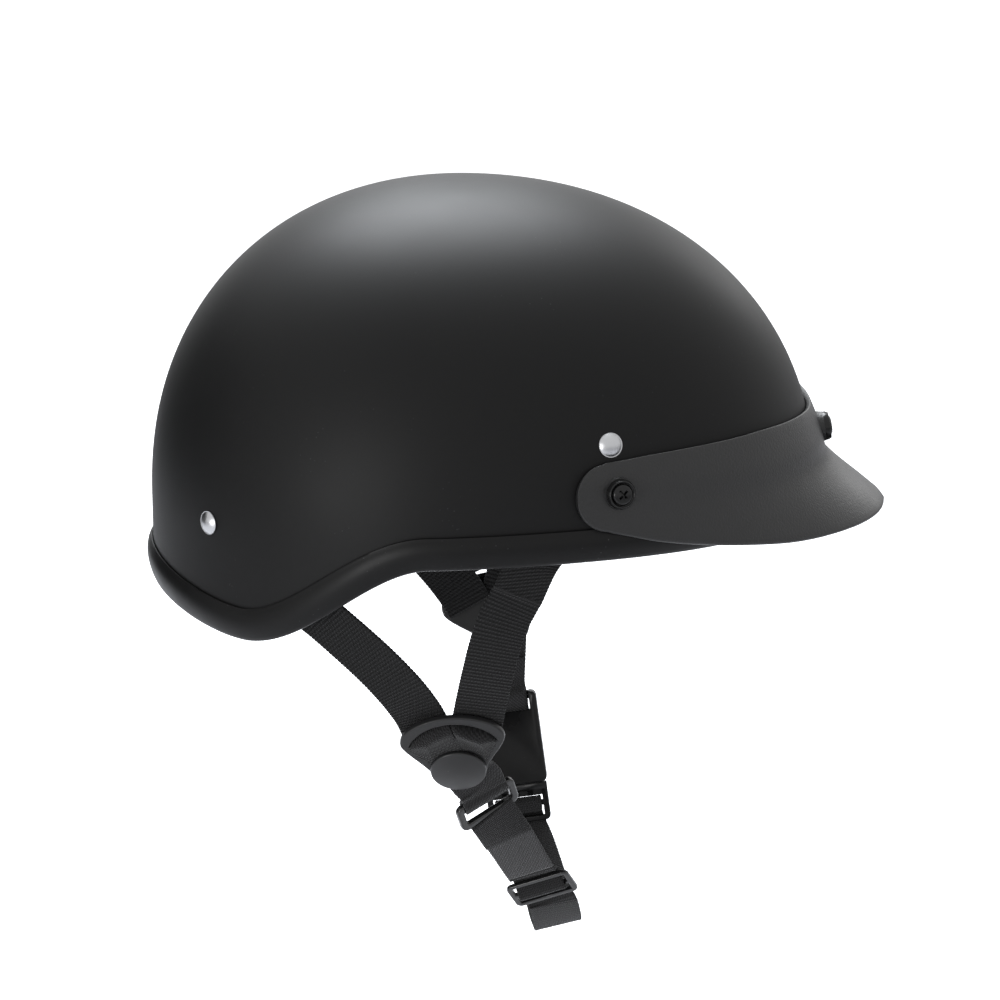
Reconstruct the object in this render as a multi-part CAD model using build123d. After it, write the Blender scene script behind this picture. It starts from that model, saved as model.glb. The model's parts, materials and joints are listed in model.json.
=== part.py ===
import os
from math import cos, hypot, pi, radians, sin, sqrt

from build123d import *

# Half shell motorcycle helmet with a snap-on peak and a chin strap, in millimetres
# +X is forward, +Y is the wearer's left and +Z is up
# The origin is the centre of the head opening, level with the front rim
# A side is +1 for the wearer's left and -1 for the right

# Shell
front_length = 143.0
rear_length = 125.0
half_width = 110.0
crown_height = 126.5
dome_power = 2.157
dome_steps = 10
shell_wall = 3.5
skirt_depth = 62.0
overrun = 8.0

# Rim line seen from the side
ear_start_x = -10.0
ear_end_x = -85.0
nape_drop = 37.0
nape_turn_x = -88.0
nape_rise = 6.5
nape_rise_power = 1.5
brow_arch = 1.5
brow_arch_x = 110.0
rim_steps = 30
rim_aim = 1.0

# Rubber edge trim
trim_height = 12.4
trim_bulge = 2.5
trim_sole = 2.0
trim_lip = 1.5
trim_lip_height = 9.0
trim_gap = 0.2
trim_lip_gap = 0.6
trim_tip = 0.6
trim_steps = 38
trim_spare_steps = 3
trim_aim = 0.5
trim_round_share = 0.4
trim_rebate_gap = 0.8

# Impact liner, comfort liner and pads
liner_gap = 0.3
foam_thickness = 20.0
foam_rise = 3.6
strap_pocket = 7.0
strap_pocket_margin = 4.5
cloth_thickness = 2.4
cloth_rise = 4.6
pad_gap = 0.5
pad_edge = 2.5
pad_steps = 8
pad_end_share = 0.05
brow_pad_angle = 52.0
brow_pad_height = 34.0
brow_pad_thickness = 9.0
side_pad_front_angle = 62.0
side_pad_rear_angle = 112.0
side_pad_height = 34.0
side_pad_thickness = 7.5
nape_pad_angle = 38.0
nape_pad_height = 36.0
nape_pad_thickness = 9.0
crown_pad_radius = 40.0
crown_pad_thickness = 8.0
pad_rise = 7.0

# Strap rivets
rivet_head_radius = 4.7
rivet_head_height = 2.0
rivet_radius = 2.1
rivet_tail_radius = 3.4
rivet_tail_height = 1.2
rivet_seat_gap = 0.2
rivet_washer_radius = 5.2
rivet_washer_thickness = 1.0
hole_gap = 0.15
stack_gap = 0.25
front_rivet_x = 57.5
front_rivet_z = 44.6
rear_rivet_x = -97.0
rear_rivet_z = 5.9

# Peak
peak_thickness = 2.0
peak_gap = 0.5
peak_reach = 28.4
peak_seat = 3.2
peak_dip = -4.0
peak_arm_low = 16.0
peak_top = 40.0
peak_flare = 4.0
peak_kick_share = 0.435
peak_screw_share = 0.72
peak_screw_flare_share = 0.35
peak_bow = 1.2
peak_arm_x = 57.0
peak_arm_z = 26.0
peak_arm_radius = 12.0
peak_boss_margin = 0.3

# One row for each half of the peak: azimuth in degrees, then the shares of the reach, of the
# rise of the lower edge and of the top height
peak_shares = (
    (0.0, 1.0, 0.0, 0.91),
    (6.0, 0.94, 0.015, 0.925),
    (12.0, 0.82, 0.03, 0.95),
    (18.0, 0.66, 0.05, 0.97),
    (26.0, 0.46, 0.10, 0.995),
    (35.0, 0.30, 0.25, 1.0),
    (45.0, 0.20, 0.45, 1.0),
    (52.0, 0.18, 0.62, 0.99),
    (58.0, 0.153, 0.80, 0.97),
    (64.0, 0.122, 0.95, 0.955),
    (70.0, 0.113, 1.0, 0.95),
)

# Peak screws, cup washers and nuts
peak_screw_x = 59.9
peak_screw_z = 26.8
peak_front_screw_z = 24.4
screw_radius = 2.4
screw_head_radius = 4.0
screw_head_height = 2.4
screw_slot_width = 1.1
screw_slot_length = 4.6
screw_slot_depth = 1.3
screw_top_share = 0.8
cup_radius = 5.4
cup_height = 2.2
cup_floor = 0.8
cup_side_share = 0.6
nut_radius = 3.8
nut_flange_radius = 5.4
nut_flange_thickness = 1.2
nut_height = 2.2
nut_gap = 0.5
nut_pocket_gap = 1.2

# Webbing
webbing_width = 20.0
webbing_thickness = 1.4
webbing_tail = 10.0
strap_gap = 0.9
strap_station = 4.0
hold_length = 8.0
settle_length = 12.6
sheet_start_z = 2.0
sheet_tilt = 5.0
right_sheet_radius = 206.0
left_sheet_radius = 400.0
strap_drop = 93.0
plate_gap = 0.6

# Strap routes on the side sheets: shares of the strap drop, forward and down from the rim
right_front_shares = ((0.301, 0.03), (0.245, 0.16), (0.193, 0.27), (0.156, 0.38), (0.12, 0.55),
                      (0.092, 0.71), (0.076, 0.82), (0.066, 0.92), (0.06, 0.955))
right_rear_shares = ((-0.57, 0.29), (-0.457, 0.403), (-0.342, 0.531), (-0.242, 0.667),
                     (-0.172, 0.80), (-0.14, 0.90), (-0.122, 0.97))
left_front_shares = ((0.47, 0.03), (0.40, 0.21), (0.335, 0.40), (0.285, 0.56), (0.235, 0.70),
                     (0.205, 0.79), (0.185, 0.87))
left_rear_shares = ((-0.57, 0.29), (-0.40, 0.42), (-0.24, 0.57), (-0.11, 0.715), (-0.02, 0.83),
                    (0.03, 0.915))

# Y plates and their caps
plate_half_width = 20.7
plate_arch = 14.2
plate_shoulder_inset = 2.9
plate_shoulder_top = 7.6
plate_shoulder_low = 3.0
plate_shoulder_foot = 1.5
plate_shoulder = 2.0
plate_neck = 11.5
plate_thickness = 2.4
plate_corner = 3.2
plate_edge = 0.6
slot_half_width = 17.6
slot_arch = 10.3
slot_inner_arch = 2.6
cap_drop = 15.4
cap_radius = 11.0
cap_height = 3.2
cap_crown = 1.0
cap_edge = 0.8
cap_stem_radius = 2.2
cap_washer_radius = 6.5
cap_washer_thickness = 1.2
plate_strap_overlap = 7.0
right_plate_x = -2.7
right_plate_drop = 84.6
right_plate_turn = -8.0
left_plate_x = 9.7
left_plate_drop = 79.0
left_plate_turn = -30.0

# Strap ring
ring_x = 10.6
ring_y = -60.0
ring_z = -114.4
ring_length = 27.0
ring_height = 13.0
ring_bar = 3.0
ring_corner = 3.0
ring_fillet = 0.9
ring_across_shares = (0.83, 0.40, 0.40)
ring_up_shares = (-0.28, -0.44, 0.85)

# Webbing eyes round bars
eye_gap = 0.15

# Chin strap: shares of its forward reach, its half span and its drop below the rim
chin_reach = 40.0
chin_span = 62.0
chin_drop = 192.0
chin_shares = ((0.40, -0.87, -0.66), (0.50, -0.80, -0.70))
chin_low_shares = ((0.985, -0.35, -0.937), (1.0, -0.177, -0.977),
                   (0.99, 0.032, -1.0), (0.95, 0.258, -1.005), (0.90, 0.484, -0.992),
                   (0.82, 0.694, -0.963), (0.73, 0.855, -0.924))
chin_lap_thickness = 2.9

# Tri-glide
glide_x = 33.0
glide_y = -37.0
glide_z = -160.5
glide_length = 27.0
glide_bar = 1.8
glide_slot = 4.4
glide_thickness = 2.0
glide_corner = 2.5
glide_fillet = 0.5
glide_weave_gap = 0.9
glide_across_shares = (0.92, -0.158, 0.36)
glide_up_shares = (-0.39, -0.50, 0.78)

# Centre push buckle
buckle_x = 22.7
buckle_y = 66.0
buckle_z = -155.4
buckle_across_shares = (0.99, 0.0, 0.14)
buckle_out_shares = (0.138, -0.25, -0.958)
buckle_half_width = 14.0
buckle_length = 40.0
buckle_thickness = 9.5
buckle_corner = 2.5
buckle_edge = 1.0
buckle_bar = 3.6
buckle_bar_thickness = 4.0
buckle_bar_fillet = 0.9
buckle_slot = 4.8
buckle_slot_margin = 0.8
cavity_half_width = 11.0
cavity_half_height = 2.6
cavity_depth = 30.0
slide_gap = 0.3

# Buckle button and its leaf spring
button_half_width = 5.8
button_from_mouth = 14.5
button_half_length = 5.8
button_proud = 0.5
button_flange = 1.4
button_flange_thickness = 0.9
spring_half_width = 3.0
spring_thickness = 0.4
spring_tip = 12.0
spring_gap = 0.1

# Buckle tongue
tongue_leg = 2.7
tongue_length = 26.6
tongue_tip = 2.6
tongue_root = 3.0
tongue_base_half_width = 13.4
tongue_thickness = 3.0
tongue_rib_length = 2.2
tongue_rib_width = 2.0
tongue_rib_spacing = 5.6
tongue_bar = 2.4
tongue_bar_from_mouth = 9.2
tongue_slot = 4.2
tongue_fillet = 0.6
tongue_wrap_gap = 1.35


def unit(shares):
    return Vector(*shares).normalized()


# The dome: two half ellipses in plan, and one superellipse from crown to rim

def dome_share(height, inset):
    rise = min(max(height / (crown_height - inset), 0), 1)
    return (1 - rise**dome_power) ** (1 / dome_power)


def half_length(x, inset):
    return (front_length if x >= 0 else rear_length) - inset


def dome_reach(azimuth, height, inset):
    turn = radians(azimuth)
    length = half_length(cos(turn), inset)
    width = half_width - inset
    return dome_share(height, inset) / hypot(cos(turn) / length, sin(turn) / width)


def dome_spot(azimuth, height, inset):
    reach = dome_reach(azimuth, height, inset)
    turn = radians(azimuth)
    return Vector(reach * cos(turn), reach * sin(turn), height)


def dome_side(x, height, inset, side):
    width = half_width - inset
    share = dome_share(height, inset) ** 2 - (x / half_length(x, inset)) ** 2
    return Vector(x, side * width * sqrt(max(share, 0)), height)


def dome_normal(spot):
    length = half_length(spot.X, 0)
    plan = hypot(spot.X / length, spot.Y / half_width) ** (dome_power - 2)
    rise = (max(spot.Z, 0) / crown_height) ** (dome_power - 1)
    return Vector(plan * spot.X / length**2, plan * spot.Y / half_width**2, rise / crown_height).normalized()


def dome_profile(inset, reach):
    width = half_width - inset
    height = crown_height - inset
    power = 2 / dome_power
    turns = [pi / 2 * reach * step / dome_steps for step in range(dome_steps + 1)]
    return [(0, -width * sin(turn) ** power, height * cos(turn) ** power) for turn in turns]


def half_domes(face, inset):
    half = revolve(face, Axis.Z, 180)
    width = half_width - inset
    front = scale(half, by=((front_length - inset) / width, 1, 1))
    rear = scale(mirror(half, Plane.YZ), by=((rear_length - inset) / width, 1, 1))
    return front + rear


def dome(inset):
    points = dome_profile(inset, 1)
    curve = Spline(*points, tangents=((0, -1, 0), (0, 0, -1)))
    side = Polyline(points[-1], (0, inset - half_width, -skirt_depth), (0, 0, -skirt_depth), points[0])
    return half_domes(make_face(curve + side), inset)


# The rim line: level at the brow, a swept drop behind the ear and a low nape

def rim_height(x):
    ear_share = min(max((ear_start_x - x) / (ear_start_x - ear_end_x), 0), 1)
    nape_share = max((nape_turn_x - x) / (nape_turn_x + rear_length), 0)
    arch_share = min(max((x - ear_start_x) / (brow_arch_x - ear_start_x), 0), 1)
    drop = nape_drop * ear_share**2 * (3 - 2 * ear_share)
    return brow_arch * sin(pi * arch_share) - drop + nape_rise * nape_share**nape_rise_power


def rim_slope(x):
    return (rim_height(x + rim_aim) - rim_height(x - rim_aim)) / (2 * rim_aim)


def rim_spot(x, offset):
    slope = rim_slope(x)
    lift = offset / hypot(slope, 1)
    return Vector(x - slope * lift, 0, rim_height(x) + lift)


def above_rim(offset):
    start = -rear_length - overrun
    span = front_length - start + overrun
    points = [rim_spot(start + span * step / rim_steps, offset) for step in range(rim_steps + 1)]
    top = crown_height + overrun
    corners = [points[-1], Vector(points[-1].X, 0, top), Vector(points[0].X, 0, top), points[0]]
    face = make_face(Spline(*points) + Polyline(*corners))
    return extrude(face, half_width + overrun, dir=(0, 1, 0), both=True)


# Turned pieces on a seat: the seat's Z is the way out of the shell

def turned(points):
    return revolve(make_face(Polyline(*points, close=True)), Axis.Z)


def drill(plane, radius, depth):
    return plane * Cylinder(radius, depth * 2)


def dome_seat(x, height, side):
    spot = dome_side(x, height, 0, side)
    return Plane(origin=spot, x_dir=(1, 0, 0), z_dir=dome_normal(spot))


def brow_seat(height):
    spot = dome_spot(0, height, 0)
    return Plane(origin=spot, x_dir=(0, 1, 0), z_dir=dome_normal(spot))


rivet_seats = {
    "front_left": dome_seat(front_rivet_x, front_rivet_z, 1),
    "front_right": dome_seat(front_rivet_x, front_rivet_z, -1),
    "rear_left": dome_seat(rear_rivet_x, rear_rivet_z, 1),
    "rear_right": dome_seat(rear_rivet_x, rear_rivet_z, -1),
}
peak_seats = {
    "left": dome_seat(peak_screw_x, peak_screw_z, 1),
    "right": dome_seat(peak_screw_x, peak_screw_z, -1),
    "front": brow_seat(peak_front_screw_z),
}


# Shell

def make_shell():
    shell = (dome(0) - dome(shell_wall)) & above_rim(trim_sole)
    for seat in rivet_seats.values():
        shell -= drill(seat, rivet_radius + hole_gap, shell_wall * 2)
    for seat in peak_seats.values():
        shell -= drill(seat, screw_radius + hole_gap, shell_wall * 2)
    return shell


# Edge trim: a rubber channel lofted round the rim

def trim_plane(azimuth):
    spots = []
    for turn in (azimuth - trim_aim, azimuth, azimuth + trim_aim):
        spot = dome_spot(turn, 0, 0)
        spots.append(Vector(spot.X, spot.Y, rim_height(spot.X)))
    ahead = spots[2] - spots[0]
    outward = Vector(ahead.Y, -ahead.X, 0)
    return Plane(origin=spots[1], x_dir=outward, z_dir=-ahead)


def leaning(plane, points):
    # The rim is cut straight across the helmet, so on a slope the channel leans with the cut
    up = Vector(-rim_slope(plane.origin.X), 0, 1).normalized()
    lean = up.dot(plane.x_dir)
    stretch = up.dot(plane.y_dir)
    return [(out, (rise - out * lean) / stretch) for out, rise in points]


def trim_section(plane):
    inner = -shell_wall - trim_lip_gap
    back = inner - trim_lip
    heel = trim_bulge * trim_round_share
    floor = trim_sole - trim_gap
    tip = trim_gap + trim_tip
    outer = leaning(plane, ((tip, trim_height), (trim_bulge, trim_height / 2), (heel, 0)))
    sole = leaning(plane, ((heel, 0), (-shell_wall / 2, -trim_sole * trim_round_share), (back, heel)))
    channel = leaning(plane, (
        (back, heel), (back, trim_lip_height), (inner, trim_lip_height), (inner, floor),
        (trim_gap, floor), (trim_gap, trim_height), (tip, trim_height),
    ))
    edges = [ThreePointArc(*outer), ThreePointArc(*sole), *Polyline(*channel).edges()]
    return plane * Wire([Edge(edge.wrapped) for edge in edges])


def make_trim():
    # The loft runs on past the middle at both ends, where it is cut square and mirrored
    steps = range(-trim_spare_steps, trim_steps + trim_spare_steps + 1)
    ring = Solid.make_loft([trim_section(trim_plane(180 * step / trim_steps)) for step in steps])
    reach = (front_length + rear_length) * 2
    half = ring & Pos(0, reach / 2, 0) * Box(reach, reach, reach)
    return half + mirror(half, Plane.XZ)


# Impact liner with a rebate for the trim's lip, and pockets for the straps and fasteners

lip_inset = shell_wall + trim_lip_gap + trim_lip + trim_rebate_gap
strap_hold_inset = shell_wall + strap_gap + webbing_thickness / 2
strap_inset = shell_wall + nut_gap + nut_height + strap_gap / 2 + webbing_thickness / 2
foam_inset = shell_wall + liner_gap
foam_inner = foam_inset + foam_thickness
cloth_inset = foam_inner + liner_gap
pad_inset = cloth_inset + cloth_thickness + pad_gap


def strap_pocket_cut(rivet_x, rivet_z, exit_share, side):
    # A shallow channel along one strap, from above its rivet to below the rim
    held = Vector(rivet_x, 0, rivet_z)
    leave = Vector(exit_share[0] * strap_drop, 0, sheet_start_z - exit_share[1] * strap_drop)
    ahead = (leave - held).normalized()
    across = Vector(ahead.Z, 0, -ahead.X) * (webbing_width / 2 + strap_pocket_margin)
    top = held - ahead * (webbing_tail + strap_pocket_margin)
    low = leave + ahead * overrun
    outline = make_face(Polyline(top - across, top + across, low + across, low - across, close=True))
    return extrude(outline, half_width, dir=(0, side, 0))


def strap_pockets():
    cuts = [strap_pocket_cut(front_rivet_x, front_rivet_z, right_front_shares[0], -1)]
    cuts.append(strap_pocket_cut(rear_rivet_x, rear_rivet_z, right_rear_shares[0], -1))
    cuts.append(strap_pocket_cut(front_rivet_x, front_rivet_z, left_front_shares[0], 1))
    cuts.append(strap_pocket_cut(rear_rivet_x, rear_rivet_z, left_rear_shares[0], 1))
    return cuts


def make_foam():
    band = dome(0) - dome(lip_inset)
    foam = (dome(foam_inset) - dome(foam_inner)) & above_rim(foam_rise)
    foam -= band - above_rim(trim_lip_height + liner_gap)
    recess = dome(0) - dome(foam_inset + strap_pocket)
    for pocket in strap_pockets():
        foam -= recess & pocket
    for seat in peak_seats.values():
        foam -= drill(seat, nut_flange_radius + nut_pocket_gap, shell_wall + nut_height + nut_pocket_gap)
    return foam


def make_cloth():
    return (dome(cloth_inset) - dome(cloth_inset + cloth_thickness)) & above_rim(cloth_rise)


# Pads: crowned cushions whose sides draw in to a thin edge

def pad_section(azimuth, low, high, thickness):
    turn = radians(azimuth)
    plane = Plane(origin=(0, 0, 0), x_dir=(cos(turn), sin(turn), 0), z_dir=(sin(turn), -cos(turn), 0))
    heights = (low, (low + high) / 2, high)
    back = [(dome_reach(azimuth, height, pad_inset), height) for height in heights]
    bulges = (pad_edge, thickness, pad_edge)
    front = [(spot[0] - bulge, spot[1]) for spot, bulge in zip(back, bulges)]
    edges = [Spline(*back), Line(back[-1], front[-1]), Spline(*front[::-1]), Line(front[0], back[0])]
    return plane * Wire([Edge(edge.wrapped) for edge in edges])


def pad(from_angle, to_angle, height, thickness):
    sections = []
    for step in range(pad_steps + 1):
        share = step / pad_steps
        azimuth = from_angle + (to_angle - from_angle) * share
        swell = sqrt(sin(pi * (pad_end_share + share * (1 - pad_end_share * 2))))
        spot = dome_spot(azimuth, 0, pad_inset)
        low = rim_height(spot.X) + pad_rise + height * (1 - swell) / 2
        depth = pad_edge + (thickness - pad_edge) * swell
        sections.append(pad_section(azimuth, low, low + height * swell, depth))
    return Solid.make_loft(sections)


def make_crown_pad():
    reach = crown_pad_radius / (half_width - pad_inset)
    back = dome_profile(pad_inset, reach * 2 / pi)
    base = back[-1]
    top = Spline(*back)
    low_z = back[0][2] - crown_pad_thickness
    edge = (0, base[1], base[2] - pad_edge)
    halfway = (0, base[1] / 2, low_z + pad_edge / 2)
    belly = Spline(edge, halfway, (0, 0, low_z), tangents=((0, 1, -1), (0, 1, 0)))
    face = make_face(top + Line(base, edge) + belly + Line((0, 0, low_z), back[0]))
    return half_domes(face, pad_inset)


# Rivets, washers, screws, cups and nuts

rivet_stack = shell_wall + strap_gap + webbing_thickness + rivet_washer_thickness + stack_gap * 2


def make_rivet():
    shank = turned((
        (0, 0, rivet_head_height / 2), (0, 0, -rivet_stack - rivet_tail_height),
        (rivet_tail_radius, 0, -rivet_stack - rivet_tail_height), (rivet_tail_radius, 0, -rivet_stack),
        (rivet_radius, 0, -rivet_stack), (rivet_radius, 0, rivet_head_height / 2),
    ))
    ball = (rivet_head_radius**2 + rivet_head_height**2) / (2 * rivet_head_height)
    below = Pos(0, 0, -ball) * Box(ball * 4, ball * 4, ball * 2)
    head = Pos(0, 0, rivet_head_height - ball) * Sphere(ball) - below
    return Pos(0, 0, rivet_seat_gap) * head + shank


def make_rivet_washer():
    top = -rivet_stack + stack_gap + rivet_washer_thickness
    ring = Cylinder(rivet_washer_radius, rivet_washer_thickness) - Cylinder(rivet_radius + hole_gap, overrun)
    return Pos(0, 0, top - rivet_washer_thickness / 2) * ring


def make_screw(lift):
    base = lift + cup_floor
    tail = -shell_wall - nut_gap - nut_height
    shape = turned((
        (0, 0, base + screw_head_height), (0, 0, tail), (screw_radius, 0, tail), (screw_radius, 0, base),
        (screw_head_radius, 0, base), (screw_head_radius, 0, base + screw_head_height / 2),
        (screw_head_radius * screw_top_share, 0, base + screw_head_height),
    ))
    cross = Box(screw_slot_length, screw_slot_width, screw_slot_depth * 2)
    slot = Pos(0, 0, base + screw_head_height) * cross
    return shape - slot - Rot(0, 0, 90) * slot


def make_cup(lift):
    bore = screw_radius + hole_gap
    well = screw_head_radius + hole_gap
    rim = (cup_radius + well) / 2
    return turned((
        (bore, 0, lift), (cup_radius, 0, lift), (cup_radius, 0, lift + cup_height * cup_side_share),
        (rim, 0, lift + cup_height), (well, 0, lift + cup_height), (well, 0, lift + cup_floor),
        (bore, 0, lift + cup_floor),
    ))


def make_nut():
    top = -shell_wall - nut_gap
    bore = screw_radius + hole_gap
    return turned((
        (bore, 0, top), (nut_flange_radius, 0, top), (nut_flange_radius, 0, top - nut_flange_thickness),
        (nut_radius, 0, top - nut_flange_thickness), (nut_radius, 0, top - nut_height),
        (bore, 0, top - nut_height),
    ))


# Peak: a thin moulding lofted round the brow, with rounded arms and a boss at each screw

def peak_section(azimuth, reach_share, low_share, top_share):
    turn = radians(azimuth)
    plane = Plane(origin=(0, 0, 0), x_dir=(cos(turn), sin(turn), 0), z_dir=(sin(turn), -cos(turn), 0))
    low = peak_dip + (peak_arm_low - peak_dip) * low_share
    top = peak_top * top_share
    flare = max(reach_share * peak_reach - peak_seat, 0) / (peak_reach - peak_seat) * peak_flare
    screw = low + (top - low) * peak_screw_share
    kick = low + (top - low) * peak_kick_share
    offsets = (
        (top, peak_gap + peak_thickness),
        (screw, peak_seat + flare * peak_screw_flare_share),
        (kick, peak_seat + flare),
        (low, peak_reach * reach_share),
    )
    outer = [Vector(dome_reach(azimuth, height, 0) + offset, height) for height, offset in offsets]
    middle = (outer[2] + outer[3]) / 2 + Vector(0, peak_bow * flare / peak_flare)
    outer.insert(3, middle)
    inner = []
    for index, spot in enumerate(outer):
        ahead = outer[min(index + 1, len(outer) - 1)] - outer[max(index - 1, 0)]
        inner.append(spot + Vector(ahead.Y, -ahead.X).normalized() * peak_thickness)
    lip = (outer[-1] + inner[-1]) / 2 + (outer[-1] - outer[-2]).normalized() * peak_thickness / 2
    edges = [Spline(*outer), ThreePointArc(outer[-1], lip, inner[-1])]
    edges += [Spline(*inner[::-1]), Line(inner[0], outer[0])]
    return plane * Wire([Edge(edge.wrapped) for edge in edges])


def peak_lift(height, reach_share, low_share, top_share):
    # How far the peak's outer face stands off the shell at a screw's height
    low = peak_dip + (peak_arm_low - peak_dip) * low_share
    top = peak_top * top_share
    flare = max(reach_share * peak_reach - peak_seat, 0) / (peak_reach - peak_seat) * peak_flare
    screw = low + (top - low) * peak_screw_share
    offset = peak_seat + flare * peak_screw_flare_share
    slope = (offset - peak_gap - peak_thickness) / (top - screw)
    return offset + slope * (screw - height) + slope * cup_radius


side_lift = peak_lift(peak_screw_z, *peak_shares[8][1:])
front_lift = peak_lift(peak_front_screw_z, *peak_shares[0][1:])
peak_lifts = {"left": side_lift, "right": side_lift, "front": front_lift}


def make_peak():
    rows = [(-azimuth, *shares) for azimuth, *shares in peak_shares[:0:-1]] + list(peak_shares)
    shape = Solid.make_loft([peak_section(*row) for row in rows])
    depth = (half_width + overrun) * 2
    arm = Pos(peak_arm_x, 0, peak_arm_z) * Rot(90, 0, 0) * Cylinder(peak_arm_radius, depth)
    room = front_length + peak_reach
    field = Pos(peak_arm_x + room / 2, 0, 0) * Box(room, depth, room)
    shape = shape & (arm + field)
    for name, seat in peak_seats.items():
        floor = peak_gap / 2
        height = peak_lifts[name] - floor
        radius = cup_radius + peak_boss_margin
        shape += seat * Pos(0, 0, floor + height / 2) * Cylinder(radius, height)
        shape -= seat * Pos(0, 0, peak_lifts[name] + overrun / 2) * Cylinder(radius, overrun)
        shape -= drill(seat, screw_radius + hole_gap, overrun * 2)
    return shape


# Webbing: a ribbon lofted through rectangles, each square to the route

def marks_along(centres):
    marks = [0]
    for index in range(1, len(centres)):
        marks.append(marks[-1] + (centres[index] - centres[index - 1]).length)
    return [mark / marks[-1] for mark in marks], marks[-1]


def normal_at(marks, normals, share):
    for index in range(1, len(marks)):
        if share <= marks[index]:
            local = (share - marks[index - 1]) / (marks[index] - marks[index - 1])
            return normals[index - 1] * (1 - local) + normals[index] * local
    return normals[-1]


def ribbon(centres, normals, thickness=webbing_thickness):
    marks, length = marks_along(centres)
    route = Spline(*centres)
    steps = round(length / strap_station)
    sections = []
    for step in range(steps + 1):
        share = step / steps
        ahead = route % share
        across = normal_at(marks, normals, share).cross(ahead)
        plane = Plane(origin=route @ share, x_dir=across, z_dir=ahead)
        sections.append((plane * Rectangle(webbing_width, thickness)).wire())
    return Solid.make_loft(sections, True)


def across_normals(centres, acrosses):
    normals = []
    for index, across in enumerate(acrosses):
        ahead = centres[min(index + 1, len(centres) - 1)] - centres[max(index - 1, 0)]
        normals.append(ahead.cross(across).normalized())
    return normals


def sheet_turn(drop, radius):
    return radians(sheet_tilt) + drop / radius


def sheet_spot(x, drop, side, inset=0):
    radius = left_sheet_radius if side > 0 else right_sheet_radius
    start = radians(sheet_tilt)
    turn = sheet_turn(drop, radius)
    y = half_width - strap_inset - radius * (cos(start) - cos(turn)) - inset * cos(turn)
    z = sheet_start_z - radius * (sin(turn) - sin(start)) + inset * sin(turn)
    return Vector(x, side * y, z)


def sheet_normal(drop, side):
    turn = sheet_turn(drop, left_sheet_radius if side > 0 else right_sheet_radius)
    return Vector(0, side * cos(turn), -sin(turn))


def strap_route(rivet_x, rivet_z, shares, side, layer):
    # Down the inside of the shell from the rivet, then down the side sheet to the plate
    exit_x, exit_drop = (share * strap_drop for share in shares[0])
    leave = sheet_spot(exit_x, exit_drop, side)
    held = Vector(rivet_x, 0, rivet_z)
    run = Vector(exit_x, 0, leave.Z) - held
    ahead = run.normalized()
    rest = run.length - settle_length
    lengths = [-webbing_tail, -webbing_tail / 2, 0, hold_length / 2, hold_length, settle_length]
    lengths += [settle_length + rest * share for share in (0.3, 0.55, 0.8)]
    centres = []
    for length in lengths:
        spot = held + ahead * length
        inset = strap_inset if length >= settle_length else strap_hold_inset
        centres.append(dome_side(spot.X, spot.Z, inset, side))
    normals = [dome_normal(centre) for centre in centres]
    home = dome_side(exit_x, leave.Z, strap_inset, side)
    tuck = leave - home
    for index, (x_share, drop_share) in enumerate(shares):
        fade = max(1 - index * 2 / (len(shares) - 1), 0)
        drop = drop_share * strap_drop
        behind = layer * (1 - fade) * (webbing_thickness + stack_gap * 2)
        centres.append(sheet_spot(x_share * strap_drop, drop, side, behind) - tuck * fade)
        normals.append((dome_normal(home) * fade + sheet_normal(drop, side) * (1 - fade)).normalized())
    return centres, normals


def make_strap(rivet_name, rivet_x, rivet_z, shares, side, layer):
    strap = ribbon(*strap_route(rivet_x, rivet_z, shares, side, layer))
    return strap - drill(rivet_seats[rivet_name], rivet_radius + hole_gap, overrun * 2)


# Eyes: the webbing folded round a bar and sewn back on itself

def eye(plane, inner_radius):
    return plane * Rot(0, 90, 0) * Cylinder(inner_radius + webbing_thickness, webbing_width)


def eye_bore(plane, inner_radius):
    return plane * Rot(0, 90, 0) * Cylinder(inner_radius, webbing_width + overrun)


def bar_radius(width, thickness, round_radius):
    return hypot(width / 2 - round_radius, thickness / 2 - round_radius) + round_radius + eye_gap


# Y plates: the rear and front straps meet in a crescent slot above the cap

def plate_frame(x, drop, turn, side):
    normal = sheet_normal(drop, side)
    lift = webbing_thickness / 2 + plate_gap
    plane = Plane(origin=sheet_spot(x, drop, side) + normal * lift, x_dir=(-side, 0, 0), z_dir=normal)
    return Plane(plane.location * Rot(0, 0, turn * side))


def make_plate():
    shoulder_x = plate_half_width - plate_shoulder_inset
    right = (
        (shoulder_x, plate_shoulder_top), (plate_half_width, plate_shoulder_low),
        (plate_half_width, -plate_shoulder_foot), (plate_neck, -cap_drop),
    )
    left = [(-x, y) for x, y in right]
    rim = ThreePointArc(left[0], (0, plate_arch), right[0])
    body = Polyline(*right)
    chin = ThreePointArc(right[-1], (0, -cap_drop - cap_radius), left[-1])
    back = Polyline(*left[::-1])
    outline = make_face(rim + body + chin + back)
    corners = outline.vertices().filter_by(lambda corner: abs(corner.X) > plate_neck + plate_corner)
    outline = fillet(corners, plate_corner / 2)
    slot_left = (-slot_half_width, -plate_shoulder / 2)
    slot_right = (slot_half_width, -plate_shoulder / 2)
    slot = make_face(
        ThreePointArc(slot_left, (0, slot_arch), slot_right)
        + ThreePointArc(slot_right, (0, slot_inner_arch), slot_left)
    )
    hole = Pos(0, -cap_drop) * Circle(cap_stem_radius + hole_gap)
    plate = extrude(outline - slot - hole, plate_thickness)
    top = plate.faces().sort_by(Axis.Z)[-1]
    return fillet(top.outer_wire().edges(), plate_edge)


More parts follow.
